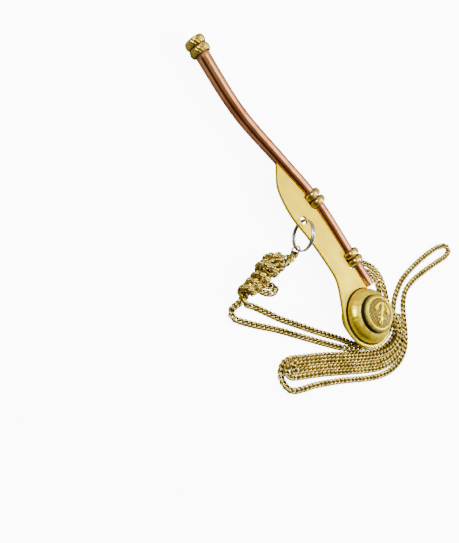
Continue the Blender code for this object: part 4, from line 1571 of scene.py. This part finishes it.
@dataclass
class Studio:
    """The camera, the pale floor and the soft light."""

    call: CallFrame
    camera_from_buoy: Point = (81.48 * MM, 137.94 * MM, 160.24 * MM)
    right: Point = (-0.58701, -0.60034, 0.54314)
    up: Point = (0.77209, -0.61693, 0.15255)
    forward: Point = (-0.2435, -0.50891, -0.82567)
    lens: float = 38.85
    shift_x: float = -0.0144
    shift_y: float = 0.077
    floor_size: float = 3.0
    floor_height: float = -0.2 * MM
    floor_unseen: float = 0.22
    floor_glow: float = 9.0

    def camera(self) -> None:
        """Adds the camera."""
        data = bpy.data.cameras.new("camera")
        data.lens, data.sensor_width, data.sensor_fit = self.lens, 36.0, "AUTO"
        data.shift_x, data.shift_y = self.shift_x, self.shift_y
        data.clip_start, data.clip_end = 0.005, 20.0
        made = bpy.data.objects.new("camera", data)
        bpy.context.scene.collection.objects.link(made)
        back = -Vector(self.forward)
        turn = Matrix((Vector(self.right), Vector(self.up), back)).transposed().to_4x4()
        made.matrix_world = (
            Matrix.Translation(Vector(self.call.table()) + Vector(self.camera_from_buoy)) @ turn
        )
        bpy.context.scene.camera = made

    def floor(self) -> None:
        """Adds the floor."""
        half = self.floor_size / 2
        mesh = bpy.data.meshes.new("floor")
        corners = [(-half, -half, 0.0), (half, -half, 0.0), (half, half, 0.0), (-half, half, 0.0)]
        mesh.from_pydata([(x, y, self.floor_height) for x, y, _ in corners], [], [(0, 1, 2, 3)])
        material = bpy.data.materials.new("floor")
        material.use_nodes = True
        tree = Tree(material.node_tree)
        shader = material.node_tree.nodes["Principled BSDF"]
        seen = tree.out("ShaderNodeLightPath", output="Is Camera Ray")
        colour = tree.blend(seen, (self.floor_unseen,) * 3, (0.92, 0.92, 0.92))
        material.node_tree.links.new(colour.output, shader.inputs["Base Color"])
        shader.inputs["Roughness"].default_value = 0.9
        glow = tree.node("ShaderNodeEmission", None, {
            "Color": (1.0, 1.0, 1.0, 1.0), "Strength": seen * self.floor_glow
        })
        both = tree.node("ShaderNodeAddShader", None, {0: shader.outputs[0], 1: glow.outputs[0]})
        output = next(n for n in material.node_tree.nodes if n.type == "OUTPUT_MATERIAL")
        material.node_tree.links.new(both.outputs[0], output.inputs["Surface"])
        mesh.materials.append(material)
        made = bpy.data.objects.new("floor", mesh)
        bpy.context.scene.collection.objects.link(made)

    def light(self) -> None:
        """Adds a bright soft sky with a dark side, and two large lamps."""
        world = bpy.data.worlds.new("studio")
        bpy.context.scene.world = world
        world.use_nodes = True
        tree = Tree(world.node_tree)
        background = next(n for n in world.node_tree.nodes if n.type == "BACKGROUND")
        way = tree.out("ShaderNodeTexCoord", output="Generated")
        parts = tree.node("ShaderNodeSeparateXYZ", None, {0: way})
        y, z = Socket(tree, parts.outputs[1]), Socket(tree, parts.outputs[2])
        low = 1.0 - z.between(0.4, 0.75)
        dark = y.between(0.1, 0.5) * low * 0.92
        sky = tree.blend(1.0 - y.between(-0.55, 0.45), (0.3, 0.3, 0.305), (1.0, 1.0, 1.0))
        colour = tree.blend(dark, sky, (0.012, 0.008, 0.005))
        world.node_tree.links.new(colour.output, background.inputs["Color"])
        background.inputs["Strength"].default_value = 1.0
        # name, place in metres, side in metres, power in watts
        lamps = (
            ("key", (-0.15, -0.3, 0.85), 0.8, 9.0),
            ("fill", (0.5, 0.25, 0.5), 0.12, 4.5),
            ("rim", (-0.45, -0.5, 0.4), 0.12, 5.0),
        )
        for name, place, size, power in lamps:
            data = bpy.data.lights.new(name, "AREA")
            data.shape, data.size, data.energy = "SQUARE", size, power
            lamp = bpy.data.objects.new(name, data)
            bpy.context.scene.collection.objects.link(lamp)
            lamp.location = place
            lamp.rotation_euler = Vector(place).to_track_quat("Z", "Y").to_euler()


def main() -> None:
    """Builds the studio, the chain and then the call."""
    logging.basicConfig(level=logging.INFO, format="%(name)s %(message)s")
    call = CallFrame()
    studio = Studio(call)
    studio.camera()
    gun = Gun(call)
    keel = Keel(call, gun)
    ring = LanyardRing(call, keel)
    chain_brass = CHAIN_BRASS.make()
    Chain(call, ring).build(chain_brass)
    ring.build(RING_WIRE.make(), chain_brass)
    buoy = Buoy(call)
    hole = buoy.sound_hole()
    gun.build(COPPER.make())
    keel.build(KEEL_BRASS.make(), hole.copy())
    buoy.build(BUOY_BRASS.make(), CAP_BRASS.make(), hole)
    GunRings(call, gun).build(BAND_BRASS.make(), ROPE_BRASS.make())
    studio.floor()
    studio.light()


if __name__ == "__main__":
    main()
